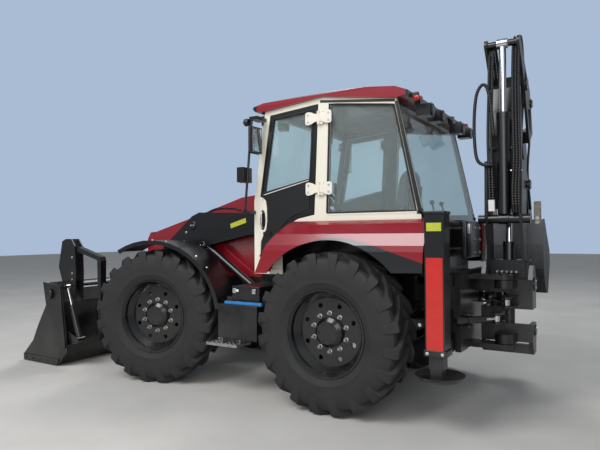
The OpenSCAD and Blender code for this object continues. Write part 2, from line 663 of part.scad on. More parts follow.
module tilt_rods() {
    color(steel) both_sides() along(tilt_base, tilt_eye, arm_y) rod(tilt_len(), 820, 24, 38, 56);
}

// Bucket's back: curved sheet with gussets, arm lugs, ram lugs and the forks' brackets
back_line = [[3668, 22], [3590, 140], [3562, 300], [3560, 430], [3590, 600], [3650, 760], [3735, 905], [3800, 975]];
function thick(p, d) = let (n = len(p)) concat(p, [for (i = [n - 1:-1:0])
    let (a = p[max(i - 1, 0)], c = p[min(i + 1, n - 1)], u = (c - a) / norm(c - a))
    p[i] + d * [u[1], -u[0]]]);
clam_pivot = [3800, 860];
clam_eye = [3600, 950];
clam_base = [3360, 330];
clam_y = 1098;
fork_pivot = [3780, 1440];
fork_y = 900;
module front_bucket() {
    color(black) {
        side_plate(-1160, 1160) polygon(thick(back_line, -bucket_t));
        // Blade along the foot and stiffened top edge
        slab([3650, -1160, 12], [3690, 1160, 60]);
        side_plate(-1160, 1160) polygon([[3780, 945], [3860, 985], [3860, 999], [3735, 950], [3735, 930]]);
        both_sides() {
            side_plate(1148, 1162) difference() {
                union() {
                    polygon([[3668, 22], [3590, 140], [3562, 300], [3560, 430], [3590, 600], [3650, 760],
                        [3735, 905], [3800, 960], [3860, 900], [3860, 800], [3720, 500], [3690, 200], [3700, 40]]);
                    translate(clam_pivot) circle(r = 60);
                }
            }
            pin_y(clam_pivot, 28, 1150, bucket_y + 14);
            pin_y(clam_pivot, 48, bucket_y + 6, bucket_y + 14);
            // Lugs either side of the arm's end, with their pin
            for (y = [arm_in_y - arm_t / 2 - 25, arm_out_y + arm_t / 2 + 5]) side_plate(y, y + 20) {
                translate(arm_end) circle(r = 66);
                polygon([[3350, 236], [3590, 110], [3562, 300], [3562, 430], [3390, 356]]);
            }
            pin_y(arm_end, 32, arm_in_y - arm_t / 2 - 20, arm_out_y + arm_t / 2 + 20);
            for (y = [arm_y - 42, arm_y + 30]) side_plate(y, y + 12) {
                translate(tilt_eye) circle(r = 42);
                polygon([[3395, 528], [3565, 420], [3612, 640], [3430, 606]]);
            }
            // Lugs of the clam's ram
            for (y = [clam_y - 50, clam_y + 38]) side_plate(y, y + 13) {
                translate(clam_base) circle(r = 38);
                polygon([[3345, 295], [3564, 250], [3564, 420], [3370, 367]]);
            }
            pin_y(clam_base, 18, clam_y - 50, clam_y + 50);
            // Fork bracket: two plates with the fork's pin
            for (y = [fork_y - 60, fork_y + 46]) side_plate(y, y + 14) {
                polygon([[3640, 760], [3700, 848], [3796, 965], [3900, 1000], [3970, 1180], [3900, 1500],
                    [3830, 1530], [3720, 1530], [3650, 1440], [3630, 1100]]);
            }
            pin_y(fork_pivot, 26, fork_y - 60, fork_y + 60);
        }
    }
}
// Clam: side plates, floor with its cutting edge, and lever plates for the rams
module bucket_clam() {
    side = [[3478, 198], [3660, 0], [4340, 0], [4352, 30], [4352, 80], [4159, 263], [4055, 460],
        [3892, 719], [3954, 999], [3673, 974], [3575, 985], [3566, 930]];
    color(black) {
        both_sides() {
            side_plate(bucket_y - 14, bucket_y) difference() {
                polygon(side);
                translate(clam_pivot) circle(r = 28 + pin_gap);
            }
            // Stub of the ram's pin
            pin_y(clam_eye, 20, clam_y + 34, bucket_y - 10);
        }
        difference() {
            union() {
                side_plate(-bucket_y + 10, bucket_y - 10)
                    polygon([[3706, 0], [4340, 0], [4380, 22], [4340, 30], [3706, 14]]);
                slab([4240, -bucket_y, 0], [4330, bucket_y, 34]);
            }
            // Holes for a bolted cutting edge
            for (k = [-7:2:7]) translate([4285, k * edge_pitch / 2, -1]) cylinder(r = edge_hole_r, h = 40);
        }
    }
}
module clam_barrels() {
    color(black) both_sides() difference() {
        along(clam_base, clam_eye, clam_y) barrel(430, 33, 17, 36, 70, 32);
        pin_y(clam_base, 18 + pin_gap, clam_y - 40, clam_y + 40);
    }
}
module clam_rods() {
    color(steel) both_sides() along(clam_base, clam_eye, clam_y) rod(reach(clam_base, clam_eye), 400, 17, 30, 50);
}
// Forks, folded back over the bucket as parked
module pallet_forks() {
    color(black) both_sides() side_plate(fork_y - 40, fork_y + 40) difference() {
        union() {
            polygon([[3776, 1410], [3250, 1272], [3218, 300], [3206, 290], [3192, 296], [3182, 1260],
                [3196, 1312], [3762, 1470]]);
            translate(fork_pivot) circle(r = 46);
        }
        translate(fork_pivot) circle(r = 26 + pin_gap);
    }
}

// Backhoe. Drawn in its own plane, x outwards from the slew axis and y across it, then
// turned to the right of the machine as parked, folded across the rear.
module hoe() { translate([slew_x, shift_rest, 0]) rotate([0, 0, -90]) children(); }
boom_foot = [200, 1120];
boom_base = [200, 720];
boom_eye = [300, 2000];
elbow = [360, 2920];
dipper_base = [50, 1690];
dipper_eye = [70, 3230];
hoe_pin = [1080, 1320];
link_pin = [940, 1113];
lever_foot = [943, 1624];
lever_head = [1234, 1413];
link_bend = [1119, 1231];
hoe_ram_base = [605, 2789];
slew_z = [845, 985];
slew_base = [220, 320];
slew_pin = [-113, 41];
slew_r = 30;
slew_gap = 64;

// Carriage on the slide rails, drawn from the slew axis with x ahead and y left
module hoe_carriage() {
    back = slide_x + slide_t - slew_x + run_gap;
    color(black) translate([slew_x, shift_rest, 0]) difference() {
        union() {
            slab([275, -360, 578], [324, 360, 1238]);
            for (s = [-1, 1]) {
                // Claws behind the rails, with their wear pads
                slab([275, s * 200 - 60, 575], [450, s * 200 + 60, slide_low[0] - run_gap]);
                slab([back, s * 200 - 60, 575], [450, s * 200 + 60, 640]);
                slab([275, s * 200 - 60, slide_top[1] + run_gap], [450, s * 200 + 60, 1238]);
                slab([back, s * 200 - 60, 1168], [450, s * 200 + 60, 1238]);
                for (z = [slide_low, slide_top])
                    slab([320, s * 200 - 60, z[0] + 10], [slide_x - slew_x - run_gap, s * 200 + 60, z[1] - 10]);
            }
            for (z = [580, 1170]) translate([0, 0, z]) linear_extrude(height = 40) {
                circle(r = 80);
                polygon([[0, -80], [276, -84], [276, 84], [0, 80]]);
            }
            for (i = [0, 1]) for (e = [-58, 44])
                translate([0, i == 0 ? slew_base[1] : -slew_base[1], slew_z[i] + e]) {
                    slab([slew_base[0], -34, 0], [276, 34, 14]);
                    translate([slew_base[0], 0, 0]) cylinder(r = 34, h = 14);
                }
            translate([0, 0, 574]) cylinder(r = 35, h = 128);
            translate([0, 0, 1098]) cylinder(r = 35, h = 118);
        }
        slab([270, 225, slew_z[0] - 44], [330, 361, slew_z[0] + 44]);
        slab([270, -361, slew_z[1] - 44], [330, -225, slew_z[1] + 44]);
        for (i = [0, 1]) translate([slew_base[0], i == 0 ? slew_base[1] : -slew_base[1], slew_z[i] - 60])
            cylinder(r = 12 + pin_gap, h = 120);
    }
}
// Kingpost: hubs on the slew pins, a web, two plates that carry the boom, and slew lugs
module hoe_kingpost() {
    w = kingpost_w;
    color(black) hoe() difference() {
        union() {
            for (z = [[626, 704], [1096, 1164]]) translate([0, 0, z[0]]) linear_extrude(height = z[1] - z[0]) {
                circle(r = 78);
                polygon([[0, -78], [0, 78], [121, 96], [121, -96]]);
            }
            slab([92, 1 - w, 626], [122, w - 1, 1164]);
            for (s = [-1, 1]) side_plate(s > 0 ? w - 35 : -w, s > 0 ? w : 35 - w)
                polygon([[92, 626], [130, 520], [250, 520], [285, 700], [285, 1180], [250, 1275],
                    [160, 1285], [92, 1164]]);
            // Lower tie between the plates, and lugs for the slew rams
            slab([135, 1 - w, 520], [180, w - 1, 600]);
            for (i = [0, 1]) for (e = [-46, 30]) translate([0, 0, slew_z[i] + e]) linear_extrude(height = 16) {
                translate([slew_pin[0], i == 0 ? slew_pin[1] : -slew_pin[1]]) circle(r = 34);
                polygon([[slew_pin[0], i == 0 ? 75 : -75], [100, i == 0 ? 100 : -100], [100, i == 0 ? -40 : 40],
                    [slew_pin[0], i == 0 ? 7 : -7]]);
            }
            // Pins: boom foot as two stubs, and the boom ram's base
            for (s = [-1, 1]) pin_y(boom_foot, 38, s > 0 ? 122 : 1 - w, s > 0 ? w - 1 : -122);
            pin_y(boom_base, 30, 1 - w, w - 1);
            for (s = [-1, 1]) pin_y(boom_base, 48, s > 0 ? 50 : 1 - w, s > 0 ? w - 1 : -50);
        }
        translate([0, 0, 600]) cylinder(r = 35 + pin_gap, h = 590);
        // Windows that let each slew ram pass on its own side
        slab([60, -w - 1, slew_z[0] - slew_gap], [300, 0, slew_z[0] + slew_gap]);
        slab([60, 0, slew_z[1] - slew_gap], [300, w + 1, slew_z[1] + slew_gap]);
    }
}
module slew_barrel(i) {
    s = i == 0 ? 1 : -1;
    from = [slew_base[0], s * slew_base[1]];
    to = [slew_pin[1] * s, -slew_pin[0]];
    color(black) translate([slew_x, shift_rest, slew_z[i]]) translate(from) rotate([0, 0, heading(from, to)]) difference() {
        union() {
            rotate([0, 90, 0]) translate([0, 0, -125]) cylinder(r = slew_r, h = 280);
            rotate([0, 90, 0]) translate([0, 0, -20]) cylinder(r = slew_r + 6, h = 40);
            translate([0, 0, -56]) cylinder(r = 12, h = 112);
        }
        rotate([0, 90, 0]) translate([0, 0, -115]) cylinder(r = 15 + pin_gap, h = 300);
    }
}
module slew_rod(i) {
    s = i == 0 ? 1 : -1;
    from = [slew_base[0], s * slew_base[1]];
    to = [slew_pin[1] * s, -slew_pin[0]];
    len = reach(from, to);
    color(steel) translate([slew_x, shift_rest, slew_z[i]]) translate(from) rotate([0, 0, heading(from, to)]) {
        rotate([0, 90, 0]) translate([0, 0, len - 368]) cylinder(r = 15, h = 355);
        translate([len, 0, -24]) cylinder(r = 27, h = 48);
    }
}
boom_low = [[136, 1090], [210, 1050], [270, 1100], [262, 1200], [228, 1750], [250, 1960],
    [345, 1960], [345, 2040], [262, 2120], [240, 2200], [20, 2200], [0, 1700], [20, 1640], [112, 1300], [136, 1172]];
boom_face = 120;
boom_high = [[boom_face, 1780], [boom_face + 20, 1780], [boom_face + 20, 2080], [240, 2080], [262, 2350],
    [440, 2860], [440, 2980], [300, 2990], [240, 2880], [boom_face, 2440]];
module hoe_boom() {
    color(black) hoe() difference() {
        union() {
            for (s = [-1, 1]) side_plate(s > 0 ? 130 : -155, s > 0 ? 155 : -130) {
                polygon(boom_low);
                translate(boom_foot) circle(r = 70);
            }
            side_plate(-120, 120) polygon(boom_high);
            side_plate(-131, 131) polygon([[boom_face, 1780], [boom_face + 20, 1780], [boom_face + 20, 2120],
                [230, 2120], [238, 2196], [boom_face, 2196]]);
            // Cross boss of the dipper ram, and the boom ram's upper pin as two stubs
            for (s = [-1, 1]) pin_y(dipper_base, 40, s > 0 ? 48 : -kingpost_w, s > 0 ? kingpost_w : -48);
            pin_y(dipper_base, 30, -60, 60);
            for (s = [-1, 1]) pin_y(boom_eye, 34, s > 0 ? 52 : -170, s > 0 ? 170 : -52);
        }
        for (s = [-1, 1]) pin_y(boom_foot, 38 + pin_gap, s > 0 ? 121 : -221, s > 0 ? 221 : -121);
        // Hollow of the box section
        side_plate(-106, 106) polygon([[boom_face + 14, 2210], [228, 2210], [248, 2355], [420, 2845],
            [300, 2860], [boom_face + 14, 2436]]);
        pin_y(elbow, 35 + pin_gap, -130, 130);
    }
}
module ram_barrel(p, q, len, r, rod_r, eye_r, eye_w, pin_r, y = 0) {
    difference() {
        along(p, q, y) barrel(len, r, rod_r, eye_r, eye_w, eye_r - 4);
        pin_y(p, pin_r + pin_gap, y - eye_w, y + eye_w);
    }
}
module boom_barrel() {
    color(black) hoe() ram_barrel(boom_base, boom_eye, 770, 50, 28, 46, 90, 30);
}
module boom_rod() {
    color(steel) hoe() along(boom_base, boom_eye, 0) rod(reach(boom_base, boom_eye), 690, 28, 42, 90);
}
// Dipper: two cheeks round the boom's end, then a box down to the bucket's pin
module hoe_dipper() {
    color(black) hoe() difference() {
        union() {
            for (s = [-1, 1]) side_plate(s > 0 ? 125 : -147, s > 0 ? 147 : -125) {
                bar(elbow, dipper_eye, 95, 50);
                polygon([[300, 2840], [420, 3000], [560, 2900], [690, 2520], [500, 2400]]);
                translate(hoe_ram_base) circle(r = 52);
            }
            side_plate(-126, 126) polygon([[480, 2440], [672, 2528], [662, 2556], [470, 2470]]);
            side_plate(-85, 85) polygon([[462, 2480], [655, 2560], [1020, 1700], [1140, 1330], [1120, 1260],
                [1050, 1250], [1010, 1300], [840, 1660]]);
            for (s = [-1, 1]) side_plate(s > 0 ? 84 : -126, s > 0 ? 126 : -84)
                polygon([[490, 2400], [690, 2480], [650, 2570], [450, 2500]]);
            pin_y(elbow, 35, -126, 126);
            for (s = [-1, 1]) pin_y(hoe_ram_base, 26, s > 0 ? 40 : -126, s > 0 ? 126 : -40);
            for (s = [-1, 1]) pin_y(dipper_eye, 30, s > 0 ? 50 : -126, s > 0 ? 126 : -50);
            pin_y(lever_foot, 28, -135, 135);
        }
        side_plate(-73, 73) polygon([[500, 2450], [648, 2510], [990, 1705], [860, 1660]]);
        pin_y(hoe_pin, 30 + pin_gap, -90, 90);
    }
}
module dipper_barrel() {
    color(black) hoe() ram_barrel(dipper_base, dipper_eye, 930, hoe_ram_r, 30, 46, 88, 30);
}
module dipper_rod() {
    color(steel) hoe() along(dipper_base, dipper_eye, 0) rod(reach(dipper_base, dipper_eye), 900, 30, 44, 86);
}
// Levers on both sides of the dipper and the link to the bucket
module bucket_lever() {
    color(black) hoe() {
        for (s = [-1, 1]) side_plate(s > 0 ? 92 : -112, s > 0 ? 112 : -92) difference() {
            bar(lever_foot, lever_head, 48, 40);
            translate(lever_foot) circle(r = 28 + pin_gap);
        }
        for (s = [-1, 1]) pin_y(lever_head, 24, s > 0 ? 38 : -146, s > 0 ? 146 : -38);
    }
}
module bucket_link() {
    color(black) hoe() {
        for (s = [-1, 1]) side_plate(s > 0 ? 118 : -138, s > 0 ? 138 : -118) difference() {
            union() {
                bar(lever_head, link_bend, 38, 30);
                bar(link_bend, link_pin, 30, 30);
            }
            translate(lever_head) circle(r = 24 + pin_gap);
        }
        // Cross bar below the dipper's end
        pin_y(link_bend, 20, -119, 119);
    }
}
module bucket_barrel() {
    color(black) hoe() ram_barrel(hoe_ram_base, lever_head, 900, 44, 24, 42, 74, 20);
}
module bucket_rod() {
    color(steel) hoe() along(hoe_ram_base, lever_head, 0) rod(reach(hoe_ram_base, lever_head), 800, 24, 38, 70);
}
// Digging bucket, curled up: bent shell, side plates, ears and four teeth
shell_line = [[560, 1690], [530, 1460], [540, 1240], [600, 1100], [700, 1010], [792, 1000], [850, 1128], [942, 1270]];
module hoe_bucket() {
    w = hoe_bucket_w;
    color(black) hoe() difference() {
        union() {
            side_plate(-w, w) polygon(thick(shell_line, hoe_bucket_t));
            for (s = [-1, 1]) side_plate(s > 0 ? w - hoe_bucket_t : -w, s > 0 ? w : hoe_bucket_t - w)
                polygon(concat(shell_line, [[940, 1400], [760, 1560], [620, 1700]]));
            for (s = [-1, 1]) side_plate(s > 0 ? 146 : -170, s > 0 ? 170 : -146) {
                translate(hoe_pin) circle(r = 62);
                translate(link_pin) circle(r = 44);
                polygon([[1020, 1362], [1080, 1258], [1000, 1100], [940, 1069], [800, 1000], [862, 1120]]);
            }
            pin_y(hoe_pin, 30, -169, 169);
        }
    }
    color(cream) hoe() for (k = [0:3]) side_plate(-w + 22 + k * (2 * w - 104) / 3, -w + 82 + k * (2 * w - 104) / 3)
        polygon([[546, 1640], [574, 1640], [582, 1720], [574, 1862], [560, 1862], [538, 1720]]);
}

// Assembly: one part for each node
home() chassis_frame();
home() rear_frame();
home() engine_block();
home() axles();
home() side_tanks();
home() steps();
home() rear_fenders();
home() {
    cab_frame();
    color(black) door_hinges();
}
home() cab_roof();
home() cab_windows();
home() cab_interior();
home() seat();
home() mirrors();
home() front_cowl();
home() bonnet();
home() door(1);  // door_left
home() door_glass(1);  // door_glass_left
home() door(-1);  // door_right
home() door_glass(-1);  // door_glass_right
home() knuckle(true, 1);  // knuckle_front_left
home() knuckle(true, -1);  // knuckle_front_right
home() knuckle(false, 1);  // knuckle_rear_left
home() knuckle(false, -1);  // knuckle_rear_right
home() rim(true, 1);  // rim_front_left
home() rim(true, -1);  // rim_front_right
home() rim(false, 1);  // rim_rear_left
home() rim(false, -1);  // rim_rear_right
home() tyre(true, 1);  // tyre_front_left
home() tyre(true, -1);  // tyre_front_right
home() tyre(false, 1);  // tyre_rear_left
home() tyre(false, -1);  // tyre_rear_right
home() loader_arms();
home() lift_barrels();
home() lift_rods();
home() tilt_barrels();
home() tilt_rods();
home() front_bucket();
home() bucket_clam();
home() clam_barrels();
home() clam_rods();
home() pallet_forks();
home() stabilizer(1);  // stabilizer_left
home() stabilizer(-1);  // stabilizer_right
home() hoe_carriage();
home() hoe_kingpost();
home() slew_barrel(0);  // slew_barrel_left
home() slew_rod(0);  // slew_rod_left
home() slew_barrel(1);  // slew_barrel_right
home() slew_rod(1);  // slew_rod_right
home() hoe_boom();
home() boom_barrel();
home() boom_rod();
home() hoe_dipper();
home() dipper_barrel();
home() dipper_rod();
home() bucket_lever();
home() bucket_link();
home() bucket_barrel();
home() bucket_rod();
home() hoe_bucket();
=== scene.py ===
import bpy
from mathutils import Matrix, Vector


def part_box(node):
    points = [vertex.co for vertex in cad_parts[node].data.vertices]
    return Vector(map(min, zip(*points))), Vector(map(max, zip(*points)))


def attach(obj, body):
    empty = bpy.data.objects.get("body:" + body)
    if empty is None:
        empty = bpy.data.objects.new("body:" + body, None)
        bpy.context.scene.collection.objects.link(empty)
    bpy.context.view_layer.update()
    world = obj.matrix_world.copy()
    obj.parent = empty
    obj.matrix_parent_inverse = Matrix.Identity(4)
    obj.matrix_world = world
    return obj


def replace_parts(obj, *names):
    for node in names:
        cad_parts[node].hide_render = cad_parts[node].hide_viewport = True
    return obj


bl_info = {
    "name": "Backhoe loader dressing",
    "version": (1, 0, 0),
    "blender": (4, 5, 0),
    "location": "View3D > Sidebar > Machine",
    "description": "Finishes and surface detail of a backhoe loader on its CAD frame",
    "category": "Object",
}

import bpy
import numpy as np

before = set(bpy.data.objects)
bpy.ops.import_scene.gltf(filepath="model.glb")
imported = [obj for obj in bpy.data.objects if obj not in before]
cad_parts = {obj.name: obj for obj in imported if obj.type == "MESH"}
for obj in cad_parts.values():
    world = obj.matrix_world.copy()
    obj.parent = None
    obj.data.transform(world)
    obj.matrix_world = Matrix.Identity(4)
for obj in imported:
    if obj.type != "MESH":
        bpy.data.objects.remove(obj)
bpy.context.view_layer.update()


def middle(node):
    """Middle of a CAD node's box."""
    low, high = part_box(node)
    return (np.array(low) + np.array(high)) / 2


# Lengths are measured from the ground under the rear axle, as on a drawing of the machine
REAR_AXLE = middle("rim_rear_left")
STEER = np.radians(14)
SIDES = {"left": 1, "right": -1}
# Faces are half widths that fittings stand on; the slew axis is along the machine, then across it
LUG_HEIGHT = 0.038
TREAD_RADIUS = 0.69
CAB_FACE = 0.8655
HINGE_FACE = 0.8955
HINGE_BOLT = 0.100
ARM_FACE = 0.5105
CLAM_FACE = 1.187
LEG_FACE = 1.1395
SLEW_AXIS = (-1.330, 0.350)


def spot(x, y, z):
    """A point given from the rear axle, in the frame."""
    return np.array([x + REAR_AXLE[0], y, z])


def paired(points, side):
    """Points given from the rear axle on the left, moved to their side of the frame."""
    return np.array(points, float) * [1, side, 1] + [REAR_AXLE[0], 0, 0]


# Sizes and colours


class TyreSizes(bpy.types.PropertyGroup):
    """Sizes of the tyres' tread."""
    lugs: bpy.props.IntProperty(name="Lugs", description="Lugs on each side of a tyre",
                                default=20, min=16, max=24)
    lug_height: bpy.props.FloatProperty(name="Lug height", description="Height above the carcass",
                                        default=LUG_HEIGHT, unit="LENGTH")
    lug_width: bpy.props.FloatProperty(name="Lug width", description="Width of a lug at the shoulder",
                                       default=0.086, unit="LENGTH")


class HoseSizes(bpy.types.PropertyGroup):
    """Sizes of the hydraulic hoses."""
    radius: bpy.props.FloatProperty(name="Radius", description="Outer radius of a hose",
                                    default=0.0125, unit="LENGTH")
    pitch: bpy.props.FloatProperty(name="Spiral", description="Pitch of the spiral guard",
                                   default=0.022, unit="LENGTH")


class PaintColours(bpy.types.PropertyGroup):
    """Colours of the paints."""
    crimson: bpy.props.StringProperty(name="Crimson", description="Roof, bonnet and wings", default="#86101F")
    cream: bpy.props.StringProperty(name="Cream", description="Cab frame", default="#E6E0D0")
    black: bpy.props.StringProperty(name="Black", description="Chassis, arms and bucket", default="#0F0F11")
    signal: bpy.props.StringProperty(name="Signal red", description="Stabilizer panels", default="#C4241C")


# Materials

COLOUR = {"data_type": "RGBA"}
TIMES, MINUS = {"operation": "MULTIPLY"}, {"operation": "SUBTRACT"}
OVER, UNDER = {"operation": "GREATER_THAN"}, {"operation": "LESS_THAN"}
MOST, SIZE, WAVE = {"operation": "MAXIMUM"}, {"operation": "ABSOLUTE"}, {"operation": "SINE"}


def linear(code, shade=1.0):
    """An sRGB hex code, or the name of one of the paints, as linear colour times a shade."""
    code = getattr(paints, code, code)
    c = np.array([int(code[i:i + 2], 16) for i in (1, 3, 5)]) / 255
    c = np.where(c <= 0.04045, c / 12.92, ((c + 0.055) / 1.055) ** 2.4)
    return (*(min(1.0, float(shade * v)) for v in c), 1.0)


def add(tree, kind, settings=None, out=0, **inputs):
    """Adds a node with its settings, its inputs by name or by i and number, and gives one of its outputs."""
    node = tree.nodes.new("ShaderNode" + kind)
    for key, value in (settings or {}).items():
        setattr(node, key, value)
    for key, value in inputs.items():
        socket = node.inputs[int(key[1:]) if key[1:].isdigit() else key.replace("_", " ")]
        if isinstance(value, bpy.types.NodeSocket):
            tree.links.new(value, socket)
        else:
            socket.default_value = value
    return node if out is None or not node.outputs else node.outputs[out]


def fresh(name):
    """A new material, its empty tree and its Object coordinates."""
    material = bpy.data.materials.new(name)
    material.use_nodes = True
    tree = material.node_tree
    tree.nodes.clear()
    return material, tree, add(tree, "TexCoord", out="Object")


def closed(material, **inputs):
    """Closes a material: each input is a number, a colour or a link on its shader's own socket."""
    shader = add(material.node_tree, "BsdfPrincipled", **inputs)
    add(material.node_tree, "OutputMaterial", i0=shader)
    return material


def enamel(name, code, gloss, dust, coat, parting=None, under=None):
    """Sprayed enamel: faint orange peel, road dust that settles low down and in cloudy patches.

    Where a parting is given, it is the share of this enamel over a second colour beneath it.
    """
    material, tree, where = fresh(name)
    peel = add(tree, "TexNoise", Vector=where, Scale=260.0, Detail=2.0, Roughness=0.55)
    cloud = add(tree, "TexNoise", Vector=where, Scale=2.6, Detail=5.0, Roughness=0.62)
    axes = add(tree, "SeparateXYZ", out=None, Vector=where).outputs
    low = add(tree, "MapRange", i0=axes["Z"], i1=1.5, i2=0.3)
    dusty = add(tree, "Math", TIMES, i0=add(tree, "MapRange", i0=cloud, i1=0.42, i2=0.72), i1=low)
    fade = add(tree, "MapRange", i0=cloud, i1=0.3, i2=0.7, i4=0.12)
    tone = add(tree, "Mix", COLOUR, 2, i0=fade, i6=linear(code), i7=linear(code, 0.8))
    share = add(tree, "Math", TIMES, i0=dusty, i1=dust)
    tone = add(tree, "Mix", COLOUR, 2, i0=share, i6=tone, i7=linear("#8C857A"))
    if parting:
        along = add(tree, "Math", MINUS, i0=axes["X"], i1=float(REAR_AXLE[0]))
        share = parting(tree, along, axes["Y"], axes["Z"])
        tone = add(tree, "Mix", COLOUR, 2, i0=share, i6=linear(under), i7=tone)
    return closed(material, Base_Color=tone, Coat_Weight=coat, Coat_Roughness=0.12,
                  Roughness=add(tree, "MapRange", i0=dusty, i3=gloss, i4=gloss + 0.3),
                  Normal=add(tree, "Bump", Strength=0.12, Distance=0.0006, Height=peel))


def wing_parting(tree, along, across, height):
    """Enamel above a line that falls from the wing's top to both its ends."""
    line = add(tree, "FloatCurve", out=None, i1=add(tree, "MapRange", i0=along, i1=-0.9, i2=0.7))
    points = line.mapping.curves[0].points
    for x, z in ((0.16, 0.34), (0.3, 0.46), (0.44, 0.54), (0.6, 0.55), (0.72, 0.38), (0.8, 0.12),
                 (0.84, 0.0)):
        points.new(x, z)
    points[0].location = (0.0, 0.2)
    points[-1].location = (1.0, 0.0)
    line.mapping.update()
    line = add(tree, "MapRange", i0=line.outputs[0], i3=1.2, i4=1.8)
    return add(tree, "MapRange", i0=add(tree, "Math", MINUS, i0=height, i1=line), i1=-0.004, i2=0.004)


def roof_parting(tree, along, across, height):
    """Enamel between the lamp bars at the roof's two ends."""
    over = add(tree, "Math", OVER, i0=along, i1=-0.665)
    return add(tree, "Math", TIMES, i0=over, i1=add(tree, "Math", UNDER, i0=along, i1=0.885))


def cab_parting(tree, along, across, height):
    """Enamel on the cab's outer sides, above the wings or ahead of them."""
    outer = add(tree, "Math", OVER, i0=add(tree, "Math", SIZE, i0=across), i1=0.83)
    above, ahead = add(tree, "Math", OVER, i0=height, i1=1.69), add(tree, "Math", OVER, i0=along, i1=0.61)
    shown = add(tree, "Math", TIMES, i0=outer, i1=add(tree, "Math", MOST, i0=above, i1=ahead))
    return add(tree, "Math", TIMES, i0=shown, i1=add(tree, "Math", OVER, i0=along, i1=-0.78))


def mottled(name, one, two, cloud, share, rough, grain=None, **fixed):
    """A surface whose one colour clouds into another.

    cloud is its noise's scale, detail and roughness; share is the stretch of it over which the colour turns,
    and how far; rough is a number, or what the stretch from 0.3 to 0.7 gives; grain is a texture, its inputs,
    its relief's depth and strength; fixed are the shader's other numbers.
    """
    material, tree, where = fresh(name)
    noise = add(tree, "TexNoise", Vector=where, Scale=cloud[0], Detail=cloud[1], Roughness=cloud[2])
    tone = linear(*one)
    if two:
        turn = add(tree, "MapRange", i0=noise, i1=share[0], i2=share[1], i4=share[2])
        tone = add(tree, "Mix", COLOUR, 2, i0=turn, i6=tone, i7=linear(*two))
    if isinstance(rough, tuple):
        rough = add(tree, "MapRange", i0=noise, i1=0.3, i2=0.7, i3=rough[0], i4=rough[1])
    if grain:
        kind, inputs, depth, strength = grain
        relief = add(tree, kind, Vector=where, **inputs)
        fixed["Normal"] = add(tree, "Bump", Strength=strength, Distance=depth, Height=relief)
    return closed(material, Base_Color=tone, Roughness=rough, **fixed)


def moulded(name, code, rough, grain):
    """Injection moulded plastic with an even leather grain."""
    return mottled(name, (code,), (code, 1.35), (12.0, 3.0, 0.55), (0.35, 0.7, 0.5), rough,
                   ("TexVoronoi", {"Scale": grain}, 0.0008, 0.2))


def film(name, code, rough=0.35):
    """Self-adhesive film: even colour, thin clear layer."""
    return mottled(name, (code,), (code, 0.85), (18.0, 3.0, 0.55), (0.3, 0.75, 1.0), rough, Coat_Weight=0.3)


def rubber():
    """Black filled rubber: matt, greyed by dust in cloudy patches, fine mould grain."""
    grain = ("TexNoise", {"Scale": 420.0, "Detail": 2.0, "Roughness": 0.55}, 0.001, 0.3)
    return mottled("tyre_rubber", ("#1C1C1D",), ("#3A3836",), (5.0, 6.0, 0.6), (0.38, 0.75, 0.4),
                   (0.62, 0.85), grain)


def chrome():
    """Hard chrome plating: mirror bright, with faint rubbed patches."""
    return mottled("hard_chrome", ("#C9CBCE",), None, (90.0, 3.0, 0.55), None, (0.1, 0.22), Metallic=1.0)


def zinc():
    """Zinc plated steel: bright, slightly cloudy grey."""
    return mottled("zinc_plated_steel", ("#B9BBBD",), ("#DDDDDA",), (60.0, 3.0, 0.55), (0.3, 0.7, 1.0),
                   (0.25, 0.42), Metallic=1.0)


def aluminium():
    """Pressed aluminium step plate: satin with scuffs."""
    return mottled("scuffed_aluminium", ("#C4C5C4",), ("#8F8E8A",), (35.0, 6.0, 0.7), (0.35, 0.7, 1.0),
                   (0.32, 0.55), Metallic=1.0)


def cast_steel():
    """Cast steel of teeth and edges, ground bright and sanded by soil."""
    grain = ("TexNoise", {"Scale": 28.0, "Detail": 6.0, "Roughness": 0.7}, 0.002, 0.3)
    return mottled("sanded_cast_steel", ("#A59C8C",), ("#6F6A62",), (28.0, 6.0, 0.7), (0.35, 0.65, 1.0),
                   0.55, grain, Metallic=0.35)


def primer():
    """Worn grey primer on the digging bucket, rubbed to steel in streaks, with painted shade that darkens it
    towards the bottom.
    """
    material, tree, where = fresh("worn_primer_painted_shade")
    stretched = add(tree, "Mapping", Vector=where, Scale=(9.0, 9.0, 1.6))
    streak = add(tree, "TexNoise", Vector=stretched, Scale=6.0, Detail=7.0, Roughness=0.65)
    # Painted shade: the bucket's grey darkens towards its lower part
    painted_shade_rise = add(tree, "MapRange", i0=add(tree, "SeparateXYZ", out="Z", Vector=where), i1=1.15, i2=1.65)
    tone = add(tree, "Mix", COLOUR, 2, i0=painted_shade_rise, i6=linear("#232427"), i7=linear("#5C5D60"))
    worn = add(tree, "MapRange", i0=streak, i1=0.55, i2=0.75, i4=0.5)
    return closed(material, Base_Color=add(tree, "Mix", COLOUR, 2, i0=worn, i6=tone, i7=linear("#8A8882")),
                  Roughness=add(tree, "MapRange", i0=streak, i1=0.3, i2=0.7, i3=0.35, i4=0.6), Metallic=0.3)


def glass(name, code):
    """Toughened float glass with a green tint and a thin pale veil, part dust and part painted sky reflection,
    clear enough to show the seat.
    """
    material, tree, where = fresh(name)
    ripple = add(tree, "TexNoise", Vector=where, Scale=1.3, Detail=1.0, Roughness=0.55)
    # The share that is not transmitted is a pale veil: part dust, part painted reflection
    return closed(material, Base_Color=linear(code), Transmission_Weight=0.91, IOR=1.1, Roughness=0.0,
                  Coat_Weight=0.6, Coat_Roughness=0.02,
                  Coat_Normal=add(tree, "Bump", Strength=0.05, Distance=0.002, Height=ripple))


